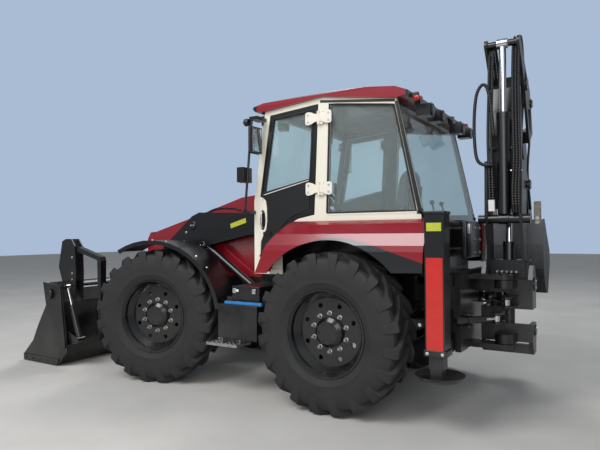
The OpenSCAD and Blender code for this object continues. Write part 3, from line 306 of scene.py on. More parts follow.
def hose():
    """Black hose in a spiral guard: rings along the hose's own length."""
    material, tree, _ = fresh("spiral_guarded_hose")
    along = add(tree, "SeparateXYZ", Vector=add(tree, "UVMap", {"uv_map": "length"}))
    turns = add(tree, "Math", TIMES, i0=along, i1=float(2 * np.pi / hoses.pitch))
    rings = add(tree, "Bump", Strength=0.7, Distance=0.003, Height=add(tree, "Math", WAVE, i0=turns))
    return closed(material, Base_Color=linear("#1A1A1C"), Roughness=0.42, Normal=rings)


def cloth():
    """Woven seat cover: 3 mm ribs, drawn coarse so that they show."""
    material, tree, where = fresh("woven_seat_cloth")
    weave = add(tree, "TexWave", {"bands_direction": "DIAGONAL"}, "Fac", Vector=where, Scale=90.0,
                Distortion=1.5)
    tone = add(tree, "Mix", COLOUR, 2, i0=weave, i6=linear("#2A2B30"), i7=linear("#45464C"))
    return closed(material, Base_Color=tone, Roughness=0.9, Sheen_Weight=0.3,
                  Normal=add(tree, "Bump", Strength=0.4, Distance=0.002, Height=weave))


MAKERS = {
    # Enamels: name, colour, gloss, dust, clear coat, and what parts them from a second colour
    "crimson": (enamel, "crimson_enamel", "crimson", 0.22, 0.1, 0.6),
    "wing": (enamel, "crimson_wing_enamel", "crimson", 0.22, 0.1, 0.6, wing_parting, "#1B1B1C"),
    "roof": (enamel, "crimson_roof_enamel", "crimson", 0.25, 0.1, 0.5, roof_parting, "black"),
    "cab": (enamel, "cream_cab_enamel", "cream", 0.25, 0.1, 0.5, cab_parting, "black"),
    "cream": (enamel, "cream_enamel", "cream", 0.3, 0.12, 0.4),
    "black": (enamel, "black_enamel", "black", 0.3, 0.14, 0.2),
    "rim": (enamel, "gloss_black_rim_enamel", "#09090A", 0.2, 0.06, 0.4),
    "iron": (enamel, "painted_cast_iron", "#2A2B2D", 0.5, 0.5, 0.0),
    # Plastics: name, colour, roughness, grains in a metre
    "plastic": (moulded, "moulded_cab_plastic", "#1E1E21", 0.55, 900.0),
    "trim": (moulded, "black_trim_moulding", "#111112", 0.4, 1200.0),
    "seal": (moulded, "window_seal_rubber", "#0D0D0E", 0.6, 1500.0),
    # Films: name, colour, roughness
    "signal": (film, "signal_red_film", "signal"),
    "yellow": (film, "yellow_marking_film", "#B9BE3A"),
    "white": (film, "white_marking_film", "#E8E8E6"),
    "blue": (film, "blue_protective_film", "#2A76B4", 0.25),
    "red_lens": (film, "red_lamp_lens", "#B0121A", 0.12),
    "glass": (glass, "tinted_toughened_glass", "#E6F2EF"),
    "lens": (glass, "clear_lamp_lens", "#F2F4F5"),
    "rubber": (rubber,), "chrome": (chrome,), "zinc": (zinc,), "aluminium": (aluminium,), "mirror": (chrome,),
    "steel": (cast_steel,), "primer": (primer,), "hose": (hose,), "cloth": (cloth,),
}
FINISHES = {}


def finish(name):
    """The material of that name, made when it is first asked for."""
    if name not in FINISHES:
        maker, *given = MAKERS[name]
        FINISHES[name] = maker(*given)
    return FINISHES[name]


# Surfaces


class Shell:
    """Vertices, faces and finish numbers of one piece, gathered from several surfaces."""

    def __init__(self):
        self.points, self.faces, self.finishes, self.lengths, self.count = [], [], [], [], 0

    def grid(self, p, loop_v=True, caps=True, finish=0, flip=True, length=0.0):
        """Quads over p[u, v], or over many like grids p[k, u, v]; v may close, and its two ends be capped."""
        p = np.asarray(p, float)
        p = p[None] if p.ndim == 3 else p
        k, m, n, _ = p.shape
        index = self.count + np.arange(k * m * n).reshape(k, m, n)
        a = np.concatenate([index, index[:, :, :1]], 2) if loop_v else index
        quads = np.stack([a[:, :-1, :-1], a[:, 1:, :-1], a[:, 1:, 1:], a[:, :-1, 1:]], -1).reshape(-1, 4)
        rings = index[:, 0, ::-1].tolist() + index[:, -1].tolist() if caps else []
        if flip:
            quads, rings = quads[:, ::-1], [ring[::-1] for ring in rings]
        self.faces += quads.tolist() + rings
        self.finishes += [finish] * (len(quads) + len(rings))
        self.points.append(p.reshape(-1, 3))
        self.lengths.append(np.broadcast_to(length, (k, m, n)).reshape(-1))
        self.count += k * m * n

    def build(self, name, finishes, body, slot=None, smooth=35):
        """The piece as an object that rides on a body."""
        mesh = bpy.data.meshes.new(name)
        mesh.from_pydata(np.concatenate(self.points).tolist(), [], self.faces)
        for key in finishes:
            mesh.materials.append(finish(key))
        mesh.polygons.foreach_set("material_index", self.finishes)
        mesh.polygons.foreach_set("use_smooth", [True] * len(self.faces))
        if "hose" in finishes:
            corner = np.zeros(len(mesh.loops), np.int32)
            mesh.loops.foreach_get("vertex_index", corner)
            along = np.concatenate(self.lengths)[corner]
            mesh.uv_layers.new(name="length").data.foreach_set("uv", np.stack([along, 0 * along], 1).ravel())
        mesh.update()
        mesh.set_sharp_from_angle(angle=np.radians(smooth))
        piece = bpy.data.objects.new(name, mesh)
        bpy.context.scene.collection.objects.link(piece)
        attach(piece, body)
        return piece


def turned(points, centre, angle):
    """Points turned about the upright line through centre."""
    c, s = np.cos(angle), np.sin(angle)
    q = np.asarray(points) - centre
    return np.stack([c * q[..., 0] - s * q[..., 1], s * q[..., 0] + c * q[..., 1], q[..., 2]], -1) + centre


def basis(axis):
    """An axis and two directions square to it."""
    axis = np.array(axis, float) / np.linalg.norm(axis)
    helper = np.array([0, 0, 1.0]) if abs(axis[2]) < 0.9 else np.array([1.0, 0, 0])
    u = np.cross(helper, axis)
    u /= np.linalg.norm(u)
    return u, np.cross(axis, u), axis


def lathe(shell, profile, centres, axis, sides=32, finish=0):
    """A profile of (radius, height) points carried round an axis at one or many centres."""
    u, v, w = basis(axis)
    profile = np.array(profile, float)
    a = np.arange(sides) * 2 * np.pi / sides
    ring = np.cos(a)[:, None] * u + np.sin(a)[:, None] * v
    p = profile[:, 0, None, None] * ring + profile[:, 1, None, None] * w
    shell.grid(np.atleast_2d(centres)[:, None, None, :] + p, finish=finish)


def bolts(shell, centres, axis, radius=0.012, height=0.01, finish=0):
    """Hexagon heads with a chamfer and a washer under each."""
    lathe(shell, [(radius * 1.35, 0), (radius * 1.35, 0.25 * height)], centres, axis, 16, finish)
    head = [(radius, 0.2 * height), (radius, height * 0.85), (radius * 0.8, height)]
    lathe(shell, head, centres, axis, 6, finish)


def smooth_path(points, steps=10):
    """Curve through points: cubic pieces whose slope at a point is half its neighbours' distance."""
    p = np.array(points, float)
    p = np.concatenate([[2 * p[0] - p[1]], p, [2 * p[-1] - p[-2]]])
    t = np.linspace(0, 1, steps, endpoint=False)[:, None, None]
    a, b, c, d = p[:-3], p[1:-2], p[2:-1], p[3:]
    q = 0.5 * (2 * b + (c - a) * t + (2 * a - 5 * b + 4 * c - d) * t ** 2 + (3 * b - a - 3 * c + d) * t ** 3)
    return np.concatenate([q.transpose(1, 0, 2).reshape(-1, 3), p[-2:-1]])


def tube(shell, path, radius, sides=12, finish=0):
    """A circle carried along a path; its upright follows the path's least common direction."""
    path = np.array(path, float)
    way = np.gradient(path, axis=0)
    way /= np.linalg.norm(way, axis=1)[:, None]
    u = np.cross(way, np.eye(3)[np.argmin(np.abs(way).max(0))])
    u /= np.linalg.norm(u, axis=1)[:, None]
    v = np.cross(way, u)
    a = np.arange(sides) * 2 * np.pi / sides
    r = np.broadcast_to(radius, (len(path),))[:, None, None]
    ring = np.cos(a)[None, :, None] * u[:, None] + np.sin(a)[None, :, None] * v[:, None]
    far = np.concatenate([[0], np.cumsum(np.linalg.norm(np.diff(path, axis=0), axis=1))])
    shell.grid(path[:, None] + r * ring, finish=finish, length=far[:, None])


def rounded(shell, low, high, radius, finish=0, steps=3):
    """A box with rounded edges: a ball's eighths moved to the box's corners."""
    r = min(radius, float((high - low).min()) / 2.01)
    mid, half = (low + high) / 2, (high - low) / 2 - r
    a = np.concatenate([np.linspace(q, q + 1, steps + 1) for q in range(4)]) * np.pi / 2
    sx, sy = np.repeat([1, -1, -1, 1], steps + 1), np.repeat([1, 1, -1, -1], steps + 1)
    b = np.concatenate([np.linspace(-1, 0, steps + 1), np.linspace(0, 1, steps + 1)]) * np.pi / 2
    sz = np.repeat([-1, 1], steps + 1)
    p = np.stack(np.broadcast_arrays(
        np.cos(b)[:, None] * np.cos(a) * r + sx * half[0],
        np.cos(b)[:, None] * np.sin(a) * r + sy * half[1],
        (np.sin(b) * r + sz * half[2])[:, None]), -1)
    shell.grid(mid + p, finish=finish)


PLANES = {"xz": (0, 2, 1), "yz": (1, 2, 0)}


def plate(shell, outline, near, far, plane="xz", edge=0.002, finish=0):
    """A flat outline given thickness from near to far, its rim stepped inwards by the edge."""
    o = np.array(outline, float)
    area = np.sum(o[:, 0] * np.roll(o[:, 1], -1) - np.roll(o[:, 0], -1) * o[:, 1])
    o = o if area > 0 else o[::-1]
    before, after = o - np.roll(o, 1, 0), np.roll(o, -1, 0) - o
    before /= np.linalg.norm(before, axis=1)[:, None]
    after /= np.linalg.norm(after, axis=1)[:, None]
    m = np.stack([-before[:, 1], before[:, 0]], 1)
    k = np.stack([-after[:, 1], after[:, 0]], 1)
    inner = o + edge * (m + k) / np.maximum(1 + np.sum(m * k, 1), 0.3)[:, None]
    i, j, d = PLANES[plane]
    p = np.zeros((4, len(o), 3))
    low, high = min(near, far), max(near, far)
    for row, (line, depth) in enumerate(((inner, low), (o, low + edge), (o, high - edge), (inner, high))):
        p[row, :, i], p[row, :, j], p[row, :, d] = line[:, 0], line[:, 1], depth
    shell.grid(p, finish=finish, flip=plane != "xz")


def side_plate(shell, outline, side, near, far, edge=0.002, finish=0):
    """A plate on one side of the machine, its outline as (x, z) from the rear axle."""
    plate(shell, np.array(outline) + [REAR_AXLE[0], 0], side * near, side * far, edge=edge, finish=finish)


def side_box(shell, side, one, other, radius, finish=0):
    """A rounded box on one side of the machine, its corners given on the left."""
    corners = paired([one, other], side)
    rounded(shell, corners.min(0), corners.max(0), radius, finish)


def rectangle(x0, z0, x1, z1):
    """Corners of an upright rectangle."""
    return [(x0, z0), (x1, z0), (x1, z1), (x0, z1)]


# Pieces


class MACHINE_OT_finish_frame(bpy.types.Operator):
    """Gives every CAD node its finish"""
    bl_idname = "machine.finish_frame"
    bl_label = "Finish the frame"

    def execute(self, context):
        special = {
            "rear_fenders": "wing", "cab_roof": "roof", "front_cowl": "crimson", "bonnet": "crimson",
            "cab_frame": "cab", "steps": "aluminium", "engine_block": "iron", "axles": "iron",
            "cab_windows": "glass", "door_glass_left": "glass", "door_glass_right": "glass",
            "cab_interior": "plastic", "seat": "cloth", "hoe_bucket": "primer",
        }
        for name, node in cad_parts.items():
            key = special.get(name, "black")
            if "_rod" in name:
                key = "chrome"
            elif name.startswith("rim_"):
                key = "rim"
            elif name.startswith("tyre_"):
                key = "rubber"
            node.data.materials.clear()
            node.data.materials.append(finish(key))
        return {"FINISHED"}


class MACHINE_OT_tyres(bpy.types.Operator):
    """Makes the tyres: a carcass with two rows of slanting lugs that run down its sidewalls"""
    bl_idname = "machine.tyres"
    bl_label = "Tyres"

    def carcass(self):
        """Half profile of (radius, offset), mirrored to the other side, carried round the axle."""
        half = np.array([
            (0.357, 0.130), (0.357, 0.169), (0.370, 0.180), (0.384, 0.187), (0.392, 0.1885), (0.400, 0.194),
            (0.440, 0.205), (0.446, 0.2085), (0.452, 0.2075), (0.500, 0.213), (0.545, 0.2145), (0.590, 0.209),
            (0.620, 0.201), (0.645, 0.188), (0.660, 0.165), (0.667, 0.120), (0.669, 0.060), (0.670, 0.0)])
        return np.concatenate([half * [1, -1], half[-2::-1]])

    def lug(self, sizes):
        """A lug as a grid: u runs from the tread's middle down the sidewall, v goes over the lug."""
        u = np.array([0, 0.14, 0.28, 0.42, 0.55, 0.60, 0.64, 0.74, 0.86, 0.95, 1.0])
        # Along u: share of the length, then offset and radius of the crest, offset and radius of the root
        stations = np.array([
            (0.00, -0.012, 0.706, -0.012, 0.655), (0.55, 0.178, 0.703, 0.160, 0.650),
            (0.60, 0.190, 0.697, 0.168, 0.645), (0.64, 0.198, 0.684, 0.176, 0.635),
            (0.86, 0.212, 0.610, 0.196, 0.590), (1.00, 0.2145, 0.562, 0.208, 0.556)]).T
        crest, top, foot, root = (np.interp(u, stations[0], row)[:, None] for row in stations[1:])
        top = top + sizes.lug_height - LUG_HEIGHT
        lean = np.interp(u, [0, 0.55, 0.64, 1.0], [0, 0.195, 0.210, 0.225])[:, None]
        half = sizes.lug_width / 2 * np.interp(u, [0, 0.3, 0.60, 1.0], [0.78, 0.88, 1.08, 0.98])[:, None]
        over = [(-1.22, 0), (-1.02, 0.88), (-0.93, 1), (0.93, 1), (1.02, 0.88), (1.22, 0)]
        across, share = np.array(over).T
        angle = (lean + half * across) / TREAD_RADIUS
        return root + (top - root) * share, foot + (crest - foot) * share, angle

    def execute(self, context):
        sizes = context.scene.machine_tyres
        profile = self.carcass()
        radius, offset, angle = self.lug(sizes)
        for end in ("front", "rear"):
            for side_name in SIDES:
                centre = middle(f"rim_{end}_{side_name}")
                shell = Shell()

                def at(radius, offset, angle):
                    p = np.stack([radius * np.cos(angle), offset + 0 * angle, radius * np.sin(angle)], -1)
                    return turned(p + centre, centre, STEER) if end == "front" else p + centre

                turns = np.arange(120) * 2 * np.pi / 120
                shell.grid(at(profile[:, :1], profile[:, 1:], turns[None]), caps=False, flip=False)
                for row in (1, -1):
                    turn = (np.arange(sizes.lugs) + (0.5 if row > 0 else 0)) * 2 * np.pi / sizes.lugs
                    turn = turn[:, None, None]
                    shell.grid(at(radius + 0 * turn, row * offset + 0 * turn, angle + turn), loop_v=False,
                               flip=row > 0)
                piece = shell.build(f"tread_{end}_{side_name}", ["rubber"], f"{side_name}_{end}_wheel",
                                    "tyre_rubber", 24)
                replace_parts(piece, f"tyre_{end}_{side_name}")
        return {"FINISHED"}


class MACHINE_OT_wheel_trim(bpy.types.Operator):
    """Puts nuts, a hub cap with its bolts, and a valve on each wheel"""
    bl_idname = "machine.wheel_trim"
    bl_label = "Wheel trim"

    def execute(self, context):
        nuts = (np.arange(10) + 0.5) * 2 * np.pi / 10
        valve = np.array([2.4])
        for end in ("front", "rear"):
            for side_name, side in SIDES.items():
                centre = middle(f"rim_{end}_{side_name}")
                angle = STEER if end == "front" else 0.0
                out = turned([0, side, 0], np.zeros(3), angle)

                def ring(r, angles, offset):
                    p = np.stack([r * np.cos(angles), side * offset + 0 * angles, r * np.sin(angles)], 1)
                    return turned(p, np.zeros(3), angle) + centre

                shell = Shell()
                nut = [(0.0225, 0), (0.0225, 0.004), (0.0168, 0.0045), (0.0168, 0.027), (0.013, 0.033)]
                stud = [(0.008, 0.0), (0.008, 0.042), (0.006, 0.045)]
                lathe(shell, nut, ring(0.168, nuts, 0.066), out, 6)
                lathe(shell, stud, ring(0.168, nuts, 0.066), out, 12)
                bolts(shell, ring(0.082, np.arange(6) * np.pi / 3, 0.126), out, 0.009, 0.009, 1)
                lathe(shell, [(0.129, 0.0), (0.131, 0.004), (0.131, 0.010), (0.127, 0.013)],
                      ring(0.0, np.zeros(1), 0.088), out, 64, 1)
                ends = ring(0.332, valve, 0.06)[0], ring(0.345, valve, 0.15)[0]
                tube(shell, np.linspace(*ends, 6), 0.006, 10)
                shell.build(f"wheel_trim_{end}_{side_name}", ["zinc", "rim"], f"{side_name}_{end}_wheel",
                            "rod_chrome")
        return {"FINISHED"}


class MACHINE_OT_cab_trim(bpy.types.Operator):
    """Makes the cab's hinge plates, door panels, handles, seals and pillar covers"""
    bl_idname = "machine.cab_trim"
    bl_label = "Cab trim"

    def hinge_plate(self, shell, x, z, side, towards):
        """Half a butterfly hinge plate: a rounded leaf that narrows to its knuckle."""
        upper = [(0, 0.036), (0.030, 0.038), (0.062, 0.054), (0.100, 0.062), (0.124, 0.056), (0.132, 0.040)]
        leaf = np.array([(x, -z) for x, z in upper] + upper[::-1])
        side_plate(shell, leaf * [towards, 1] + [x, z], side, 0.886, HINGE_FACE, 0.0025)
        feet = [(x + towards * HINGE_BOLT, HINGE_FACE, z + dz) for dz in (-0.032, 0.032)]
        bolts(shell, paired(feet, side), (0, side, 0), 0.0085, 0.006, 1)
        lathe(shell, [(0.008, 0), (0.008, 0.05)], paired(feet, side) - [0, side * (HINGE_FACE - 0.84), 0],
              (0, side, 0), 10, 1)

    def execute(self, context):
        for side_name, side in SIDES.items():
            cab, door = Shell(), Shell()
            for z in (1.99, 2.65):
                self.hinge_plate(cab, 0.180, z, side, -1)
                self.hinge_plate(door, 0.196, z, side, 1)
                lathe(cab, [(0.0145, -0.062), (0.0145, 0.062)], spot(0.188, side * 0.888, z), (0, 0, 1), 20)
            # Door: gloss panel below the sloping edge of its window, and the bright line on that edge
            panel = [(0.866, 1.364), (0.845, 1.955), (0.298, 2.078), (0.306, 1.80), (0.452, 1.757),
                     (0.536, 1.717), (0.616, 1.645), (0.688, 1.560), (0.754, 1.465), (0.795, 1.364)]
            side_plate(door, panel, side, 0.838, 0.8665, finish=2)
            line = paired([(0.838, 0.868, 1.957), (0.306, 0.868, 2.077)], side)
            tube(door, np.linspace(*line, 5), 0.0045, 8)
            # Cream edge of the door with its oval recess and the grip in it
            cream = [(0.882, 1.945), (0.835, 1.935), (0.800, 1.900), (0.788, 1.830), (0.786, 1.700),
                     (0.798, 1.620), (0.832, 1.560), (0.860, 1.500), (0.867, 1.375), (0.882, 1.360)]
            side_plate(door, cream, side, CAB_FACE, 0.873, 0.0025)
            a = np.arange(40) * 2 * np.pi / 40
            recess = np.stack([0.836 + 0.034 * np.cos(a), 1.712 + 0.100 * np.sin(a)], 1)
            side_plate(door, recess, side, 0.870, 0.8765, 0.003, 2)
            grip = [(0.836, y, z) for y, z in ((0.874, 1.79), (0.896, 1.775), (0.900, 1.712), (0.896, 1.650),
                                               (0.874, 1.635))]
            tube(door, smooth_path(paired(grip, side)), 0.0085, 12, 1)
            # Window seals: a lip round each light
            for target, corners in ((cab, [(0.117, 1.763), (0.082, 2.767), (-0.547, 2.682), (-0.737, 1.763)]),
                                    (door, [(0.837, 1.975), (0.836, 1.897), (0.703, 2.696), (0.254, 2.731),
                                            (0.297, 2.085)])):
                c = paired([(x, 0.864, z) for x, z in corners], side)
                loop = [np.linspace(a, b, 8, endpoint=False) for a, b in zip(c, np.roll(c, -1, 0))]
                tube(target, np.concatenate([*loop, c[:1]]), 0.0095, 8, 3)
            # Sill line of the rear side light, dark covers of its pillar and header, lip ahead of the wing
            side_plate(cab, rectangle(0.118, 1.742, -0.735, 1.756), side, CAB_FACE, 0.8695, 0.0012)
            pillar = [(-0.556, 2.705), (-0.750, 1.768), (-0.742, 1.735), (-0.802, 1.735), (-0.802, 1.70),
                      (-0.582, 2.712)]
            side_plate(cab, pillar, side, 0.8652, 0.8735, finish=2)
            header = [(0.180, 2.792), (0.180, 2.815), (-0.556, 2.728), (-0.556, 2.705)]
            side_plate(cab, header, side, 0.8652, 0.869, 0.001, 2)
            tube(cab, np.linspace(*paired([(0.612, 0.868, 1.226), (0.938, 0.868, 1.226)], side), 4), 0.007, 8)
            names = ["cream", "zinc", "trim", "seal"]
            cab.build(f"cab_trim_{side_name}", names, "chassis", "cream_paint")
            door.build(f"door_trim_{side_name}", names, f"{side_name}_door", "black_paint")
        return {"FINISHED"}


class MACHINE_OT_lamps(bpy.types.Operator):
    """Makes the lamps' lenses, mirror glasses and tail lights"""
    bl_idname = "machine.lamps"
    bl_label = "Lamps and mirrors"

    def lamp(self, shell, x, y, z, way, r=0.050):
        """A round work lamp: lens in a stepped ring."""
        lathe(shell, [(r + 0.006, -0.004), (r + 0.008, 0.006), (r + 0.002, 0.010), (r, 0.006)], spot(x, y, z),
              (way, 0, 0), 28)
        lathe(shell, [(r, 0.0), (r * 0.98, 0.006), (r * 0.6, 0.011), (0.0005, 0.013)], spot(x, y, z),
              (way, 0, 0), 28, 1)

    def execute(self, context):
        shell, tail, nose = Shell(), Shell(), Shell()
        for y in (-0.65, -0.35, 0.35, 0.65):
            self.lamp(shell, -0.815, y, 2.640, -1)
            self.lamp(shell, 0.960, y, 2.738, 1)
        for side in SIDES.values():
            # Pair of small lamps on the guard tube, mirror glass and back, lamp at the tube's head
            for z in (2.190, 2.115):
                self.lamp(shell, 1.000, side * 1.003, z, 1, 0.030)
            side_box(shell, side, (0.922, 0.937, 2.085), (0.932, 1.069, 2.220), 0.01)
            side_box(shell, side, (0.8075, 0.928, 2.372), (0.8105, 1.068, 2.598), 0.012, 2)
            side_box(shell, side, (0.833, 0.914, 2.352), (0.861, 1.082, 2.618), 0.014)
            lathe(shell, [(0.032, 0), (0.036, 0.01), (0.036, 0.045), (0.02, 0.06)],
                  spot(0.90, side * 1.005, 2.668), (1, 0, 0), 20)
            side_box(tail, side, (-0.760, 0.770, 2.705), (-0.700, 0.830, 2.745), 0.010)
            side_box(tail, side, (-0.745, 0.780, 2.740), (-0.66, 0.820, 2.775), 0.004, 1)
            lathe(nose, [(0.046, 0), (0.048, 0.006), (0.042, 0.008)], spot(3.020, side * 0.270, 1.450),
                  (1, 0, 0), 28)
            lathe(nose, [(0.041, 0.0), (0.030, 0.006), (0.0005, 0.008)], spot(3.021, side * 0.270, 1.450),
                  (1, 0, 0), 28, 1)
        shell.build("cab_lamps", ["trim", "lens", "mirror"], "chassis", "black_paint")
        tail.build("tail_lights", ["red_lens", "trim"], "chassis", "red_paint")
        nose.build("head_lamps", ["trim", "lens"], "bonnet", "black_paint")
        return {"FINISHED"}


class MACHINE_OT_tank_trim(bpy.types.Operator):
    """Makes the tanks' covers, lids, film strip, latches and the steps' treads"""
    bl_idname = "machine.tank_trim"
    bl_label = "Tanks and steps"

    def execute(self, context):
        shell = Shell()
        for side in SIDES.values():
            side_box(shell, side, (0.80, 1.024, 0.545), (1.28, 1.034, 0.868), 0.004)
            side_box(shell, side, (0.795, 0.444, 0.866), (1.286, 1.036, 0.880), 0.005)
            side_box(shell, side, (0.815, 0.555, 1.040), (1.156, 0.965, 1.056), 0.006)
            for x in (0.86, 1.10):
                side_box(shell, side, (x, 0.960, 0.985), (x + 0.045, 0.972, 1.035), 0.004, 1)
            # Rolled edge of the sheet over the tank, on the left still in its blue film
            roll = np.linspace(spot(0.75, side * 1.012, 0.893), spot(1.20, side * 1.012, 0.893), 14)
            tube(shell, roll, 0.019 + 0.0015 * np.sin(np.arange(14) * 1.7), 14, 2 if side > 0 else 0)
            studs = [(x, y, 0.480) for x in np.arange(1.04, 1.37, 0.055) for y in np.arange(0.90, 1.08, 0.05)]
            lathe(shell, [(0.012, 0), (0.010, 0.006), (0.006, 0.006)], paired(studs, side), (0, 0, 1), 10, 3)
            lathe(shell, [(0.050, 0), (0.056, 0.004), (0.056, 0.028), (0.048, 0.034)],
                  spot(1.21, side * 0.90, 0.912), (0, 0, 1), 28)
            side_plate(shell, rectangle(1.07, 1.000, 1.125, 1.024), side, 0.9655, 0.968, 0.0008, 4)
        shell.build("tank_trim", ["black", "zinc", "blue", "aluminium", "white"], "chassis", "black_paint")
        return {"FINISHED"}


class MACHINE_OT_loader_trim(bpy.types.Operator):
    """Makes the loader's plain labels, pin plates, hoses, bucket fittings and mudguard bolts"""
    bl_idname = "machine.loader_trim"
    bl_label = "Loader trim"

    def arm(self, arms, side):
        """Label, pin plates and bolts on an arm's outer face, hoses along its inner one."""
        out = (0, side, 0)
        side_plate(arms, [(1.315, 1.700), (1.530, 1.640), (1.540, 1.690), (1.325, 1.752)], side,
                   ARM_FACE, 0.5125, 0.0008, 1)
        for x, z, r in ((1.95, 1.45, 0.046), (2.10, 1.68, 0.050), (3.15, 0.735, 0.06)):
            lathe(arms, [(r, 0), (r, 0.008), (r * 0.9, 0.011)], spot(x, side * ARM_FACE, z), out)
            heads = [(x + dx, ARM_FACE + 0.010, z) for dx in (-0.02, 0.02)]
            bolts(arms, paired(heads, side), out, 0.008, 0.007, 2)
        heads = [(x, ARM_FACE, z) for x, z in ((2.20, 1.600), (2.235, 1.490), (2.235, 1.455))]
        bolts(arms, paired(heads, side), out, 0.011, 0.008, 2)
        lathe(arms, [(0.075, 0), (0.080, 0.006), (0.080, 0.014), (0.060, 0.020)],
              spot(1.1, side * ARM_FACE, 1.69), out, 36)
        route = np.array([(1.52, 0.350, 1.845), (1.66, 0.352, 1.875), (2.0, 0.350, 1.835), (2.5, 0.350, 1.475),
                          (3.0, 0.350, 1.055), (3.30, 0.350, 0.695)])
        for k in range(3):
            tube(arms, smooth_path(paired(route - [0, 0.015 * k, 0], side)), 0.0115, 10, 3)

    def mudguard(self, side_name, side):
        """Dome bolts along the crown of a front mudguard, turned with its wheel."""
        guard = Shell()
        pivot = spot(2.178, side * 0.820, 0)
        a = np.radians([88, 100, 128, 140])
        out = np.stack([0.8105 * np.cos(a), 0 * a + side * 0.27, 0.706 + 0.8105 * np.sin(a)], 1)
        centres = turned(out + pivot, pivot, STEER)
        for some, way in ((centres[:2], (0, 0, 1)), (centres[2:], (-0.7, 0, 0.72))):
            lathe(guard, [(0.016, 0), (0.014, 0.004), (0.006, 0.006)], some, way, 14)
        guard.build(f"mudguard_bolts_{side_name}", ["zinc"], f"{side_name}_front_knuckle", "rod_chrome")

    def execute(self, context):
        arms, bucket, clam = Shell(), Shell(), Shell()
        for side in SIDES.values():
            self.arm(arms, side)
            lathe(clam, [(0.060, 0), (0.060, 0.016), (0.052, 0.022)], spot(3.80, side * 1.201, 0.86),
                  (0, side, 0), 36)
            wear = [(3.67, 0.006), (4.335, 0.006), (4.345, 0.085), (3.62, 0.085)]
            side_plate(clam, wear, side, CLAM_FACE, 1.199, 0.003)
            rib = [(3.60, 0.96), (3.66, 0.96), (3.545, 0.22), (3.500, 0.235)]
            side_plate(clam, rib, side, CLAM_FACE, 1.203, 0.003)
            bolts(clam, paired([(x, 1.199, 0.046) for x in np.linspace(3.72, 4.28, 5)], side), (0, side, 0),
                  0.010, 0.008)
            for y, way in ((0.855, -side), (0.945, side)):
                lathe(bucket, [(0.052, 0), (0.052, 0.006), (0.044, 0.010)], spot(3.78, side * y, 1.44),
                      (0, way, 0), 28)
            heads = [(3.70, 0.960, z) for z in (1.02, 1.10, 1.30)]
            bolts(bucket, paired(heads, side), (0, side, 0), 0.011, 0.009, 1)
        arms.build("arm_trim", ["black", "yellow", "zinc", "hose"], "arms", "black_paint")
        clam.build("clam_trim", ["black", "zinc"], "clam", "black_paint")
        bucket.build("bucket_trim", ["black", "zinc"], "bucket", "black_paint")
        for side_name, side in SIDES.items():
            self.mudguard(side_name, side)
        return {"FINISHED"}


class MACHINE_OT_rear_trim(bpy.types.Operator):
    """Makes the stabilizers' panels, rear pipes, guard plates and valve box"""
    bl_idname = "machine.rear_trim"
    bl_label = "Rear trim"

    def leg(self, shell, side):
        """Panel, plain label, cap, collar and bolts of a leg, the pipes and the punched guard beside it."""
        side_plate(shell, rectangle(-1.038, 0.662, -0.906, 1.378), side, LEG_FACE, 1.1425, 0.001, 1)
        side_plate(shell, rectangle(-1.030, 1.585, -0.912, 1.650), side, LEG_FACE, 1.1415, 0.0008, 2)
        side_box(shell, side, (-1.058, 0.976, 1.716), (-0.886, 1.148, 1.742), 0.006)
        side_box(shell, side, (-1.060, 0.974, 0.612), (-0.884, 1.150, 0.664), 0.005)
        bolts(shell, paired([(x, LEG_FACE + 0.010, 0.638) for x in (-1.032, -0.912)], side), (0, side, 0),
              0.010, 0.008, 3)
        for k in range(3):
            route = [(-0.925, 1.122), (-0.926, 1.06), (-0.920, 1.00), (-0.900, 0.972), (-0.870, 0.965)]
            path = smooth_path(paired([(x, 0.886 + 0.031 * k, z) for x, z in route], side))
            tube(shell, path, 0.010, 12, 4 if k != 1 else 0)
        side_box(shell, side, (-0.998, 0.872, 0.694), (-0.988, 0.972, 0.960), 0.004)
        # Holes of the guard, drawn as dark discs on it: painted shade in place of the openings
        holes = [(-0.9985, 0.884 + 0.022 * i + 0.011 * (j % 2), 0.712 + 0.024 * j)
                 for i in range(4) for j in range(10)]
        lathe(shell, [(0.009, 0), (0.0085, 0.0012)], paired(holes, side), (-1, 0, 0), 10, 5)

    def execute(self, context):
        shell = Shell()
        for side in SIDES.values():
            self.leg(shell, side)
        # Valve box behind the cab, held off its rear wall by two pairs of arms
        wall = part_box("cab_frame")[0][0] - REAR_AXLE[0] + 0.02
        rounded(shell, spot(-0.930, -0.530, 1.330), spot(-0.880, 0.015, 1.690), 0.012)
        for z in (1.40, 1.60):
            for y in (-0.480, -0.080):
                rounded(shell, spot(-0.890, y, z), spot(wall, y + 0.050, z + 0.03), 0.004)
        rounded(shell, spot(-0.950, -0.110, 1.560), spot(-0.926, -0.045, 1.660), 0.004, 3)
        heads = [(-0.931, y, z) for y in (-0.49, -0.30) for z in (1.37, 1.50, 1.62)]
        bolts(shell, paired(heads, 1), (-1, 0, 0), 0.013, 0.010, 3)
        shell.build("rear_trim", ["black", "signal", "yellow", "zinc", "chrome", "seal"], "chassis",
                    "black_paint")
        return {"FINISHED"}


def hoe_spots(points):
    """Points in the digging arm's own plane: out from the slew axis, across it, height."""
    out, across, z = np.array(points, float).T
    return np.stack([SLEW_AXIS[0] + across + REAR_AXLE[0], SLEW_AXIS[1] - out, z], 1)


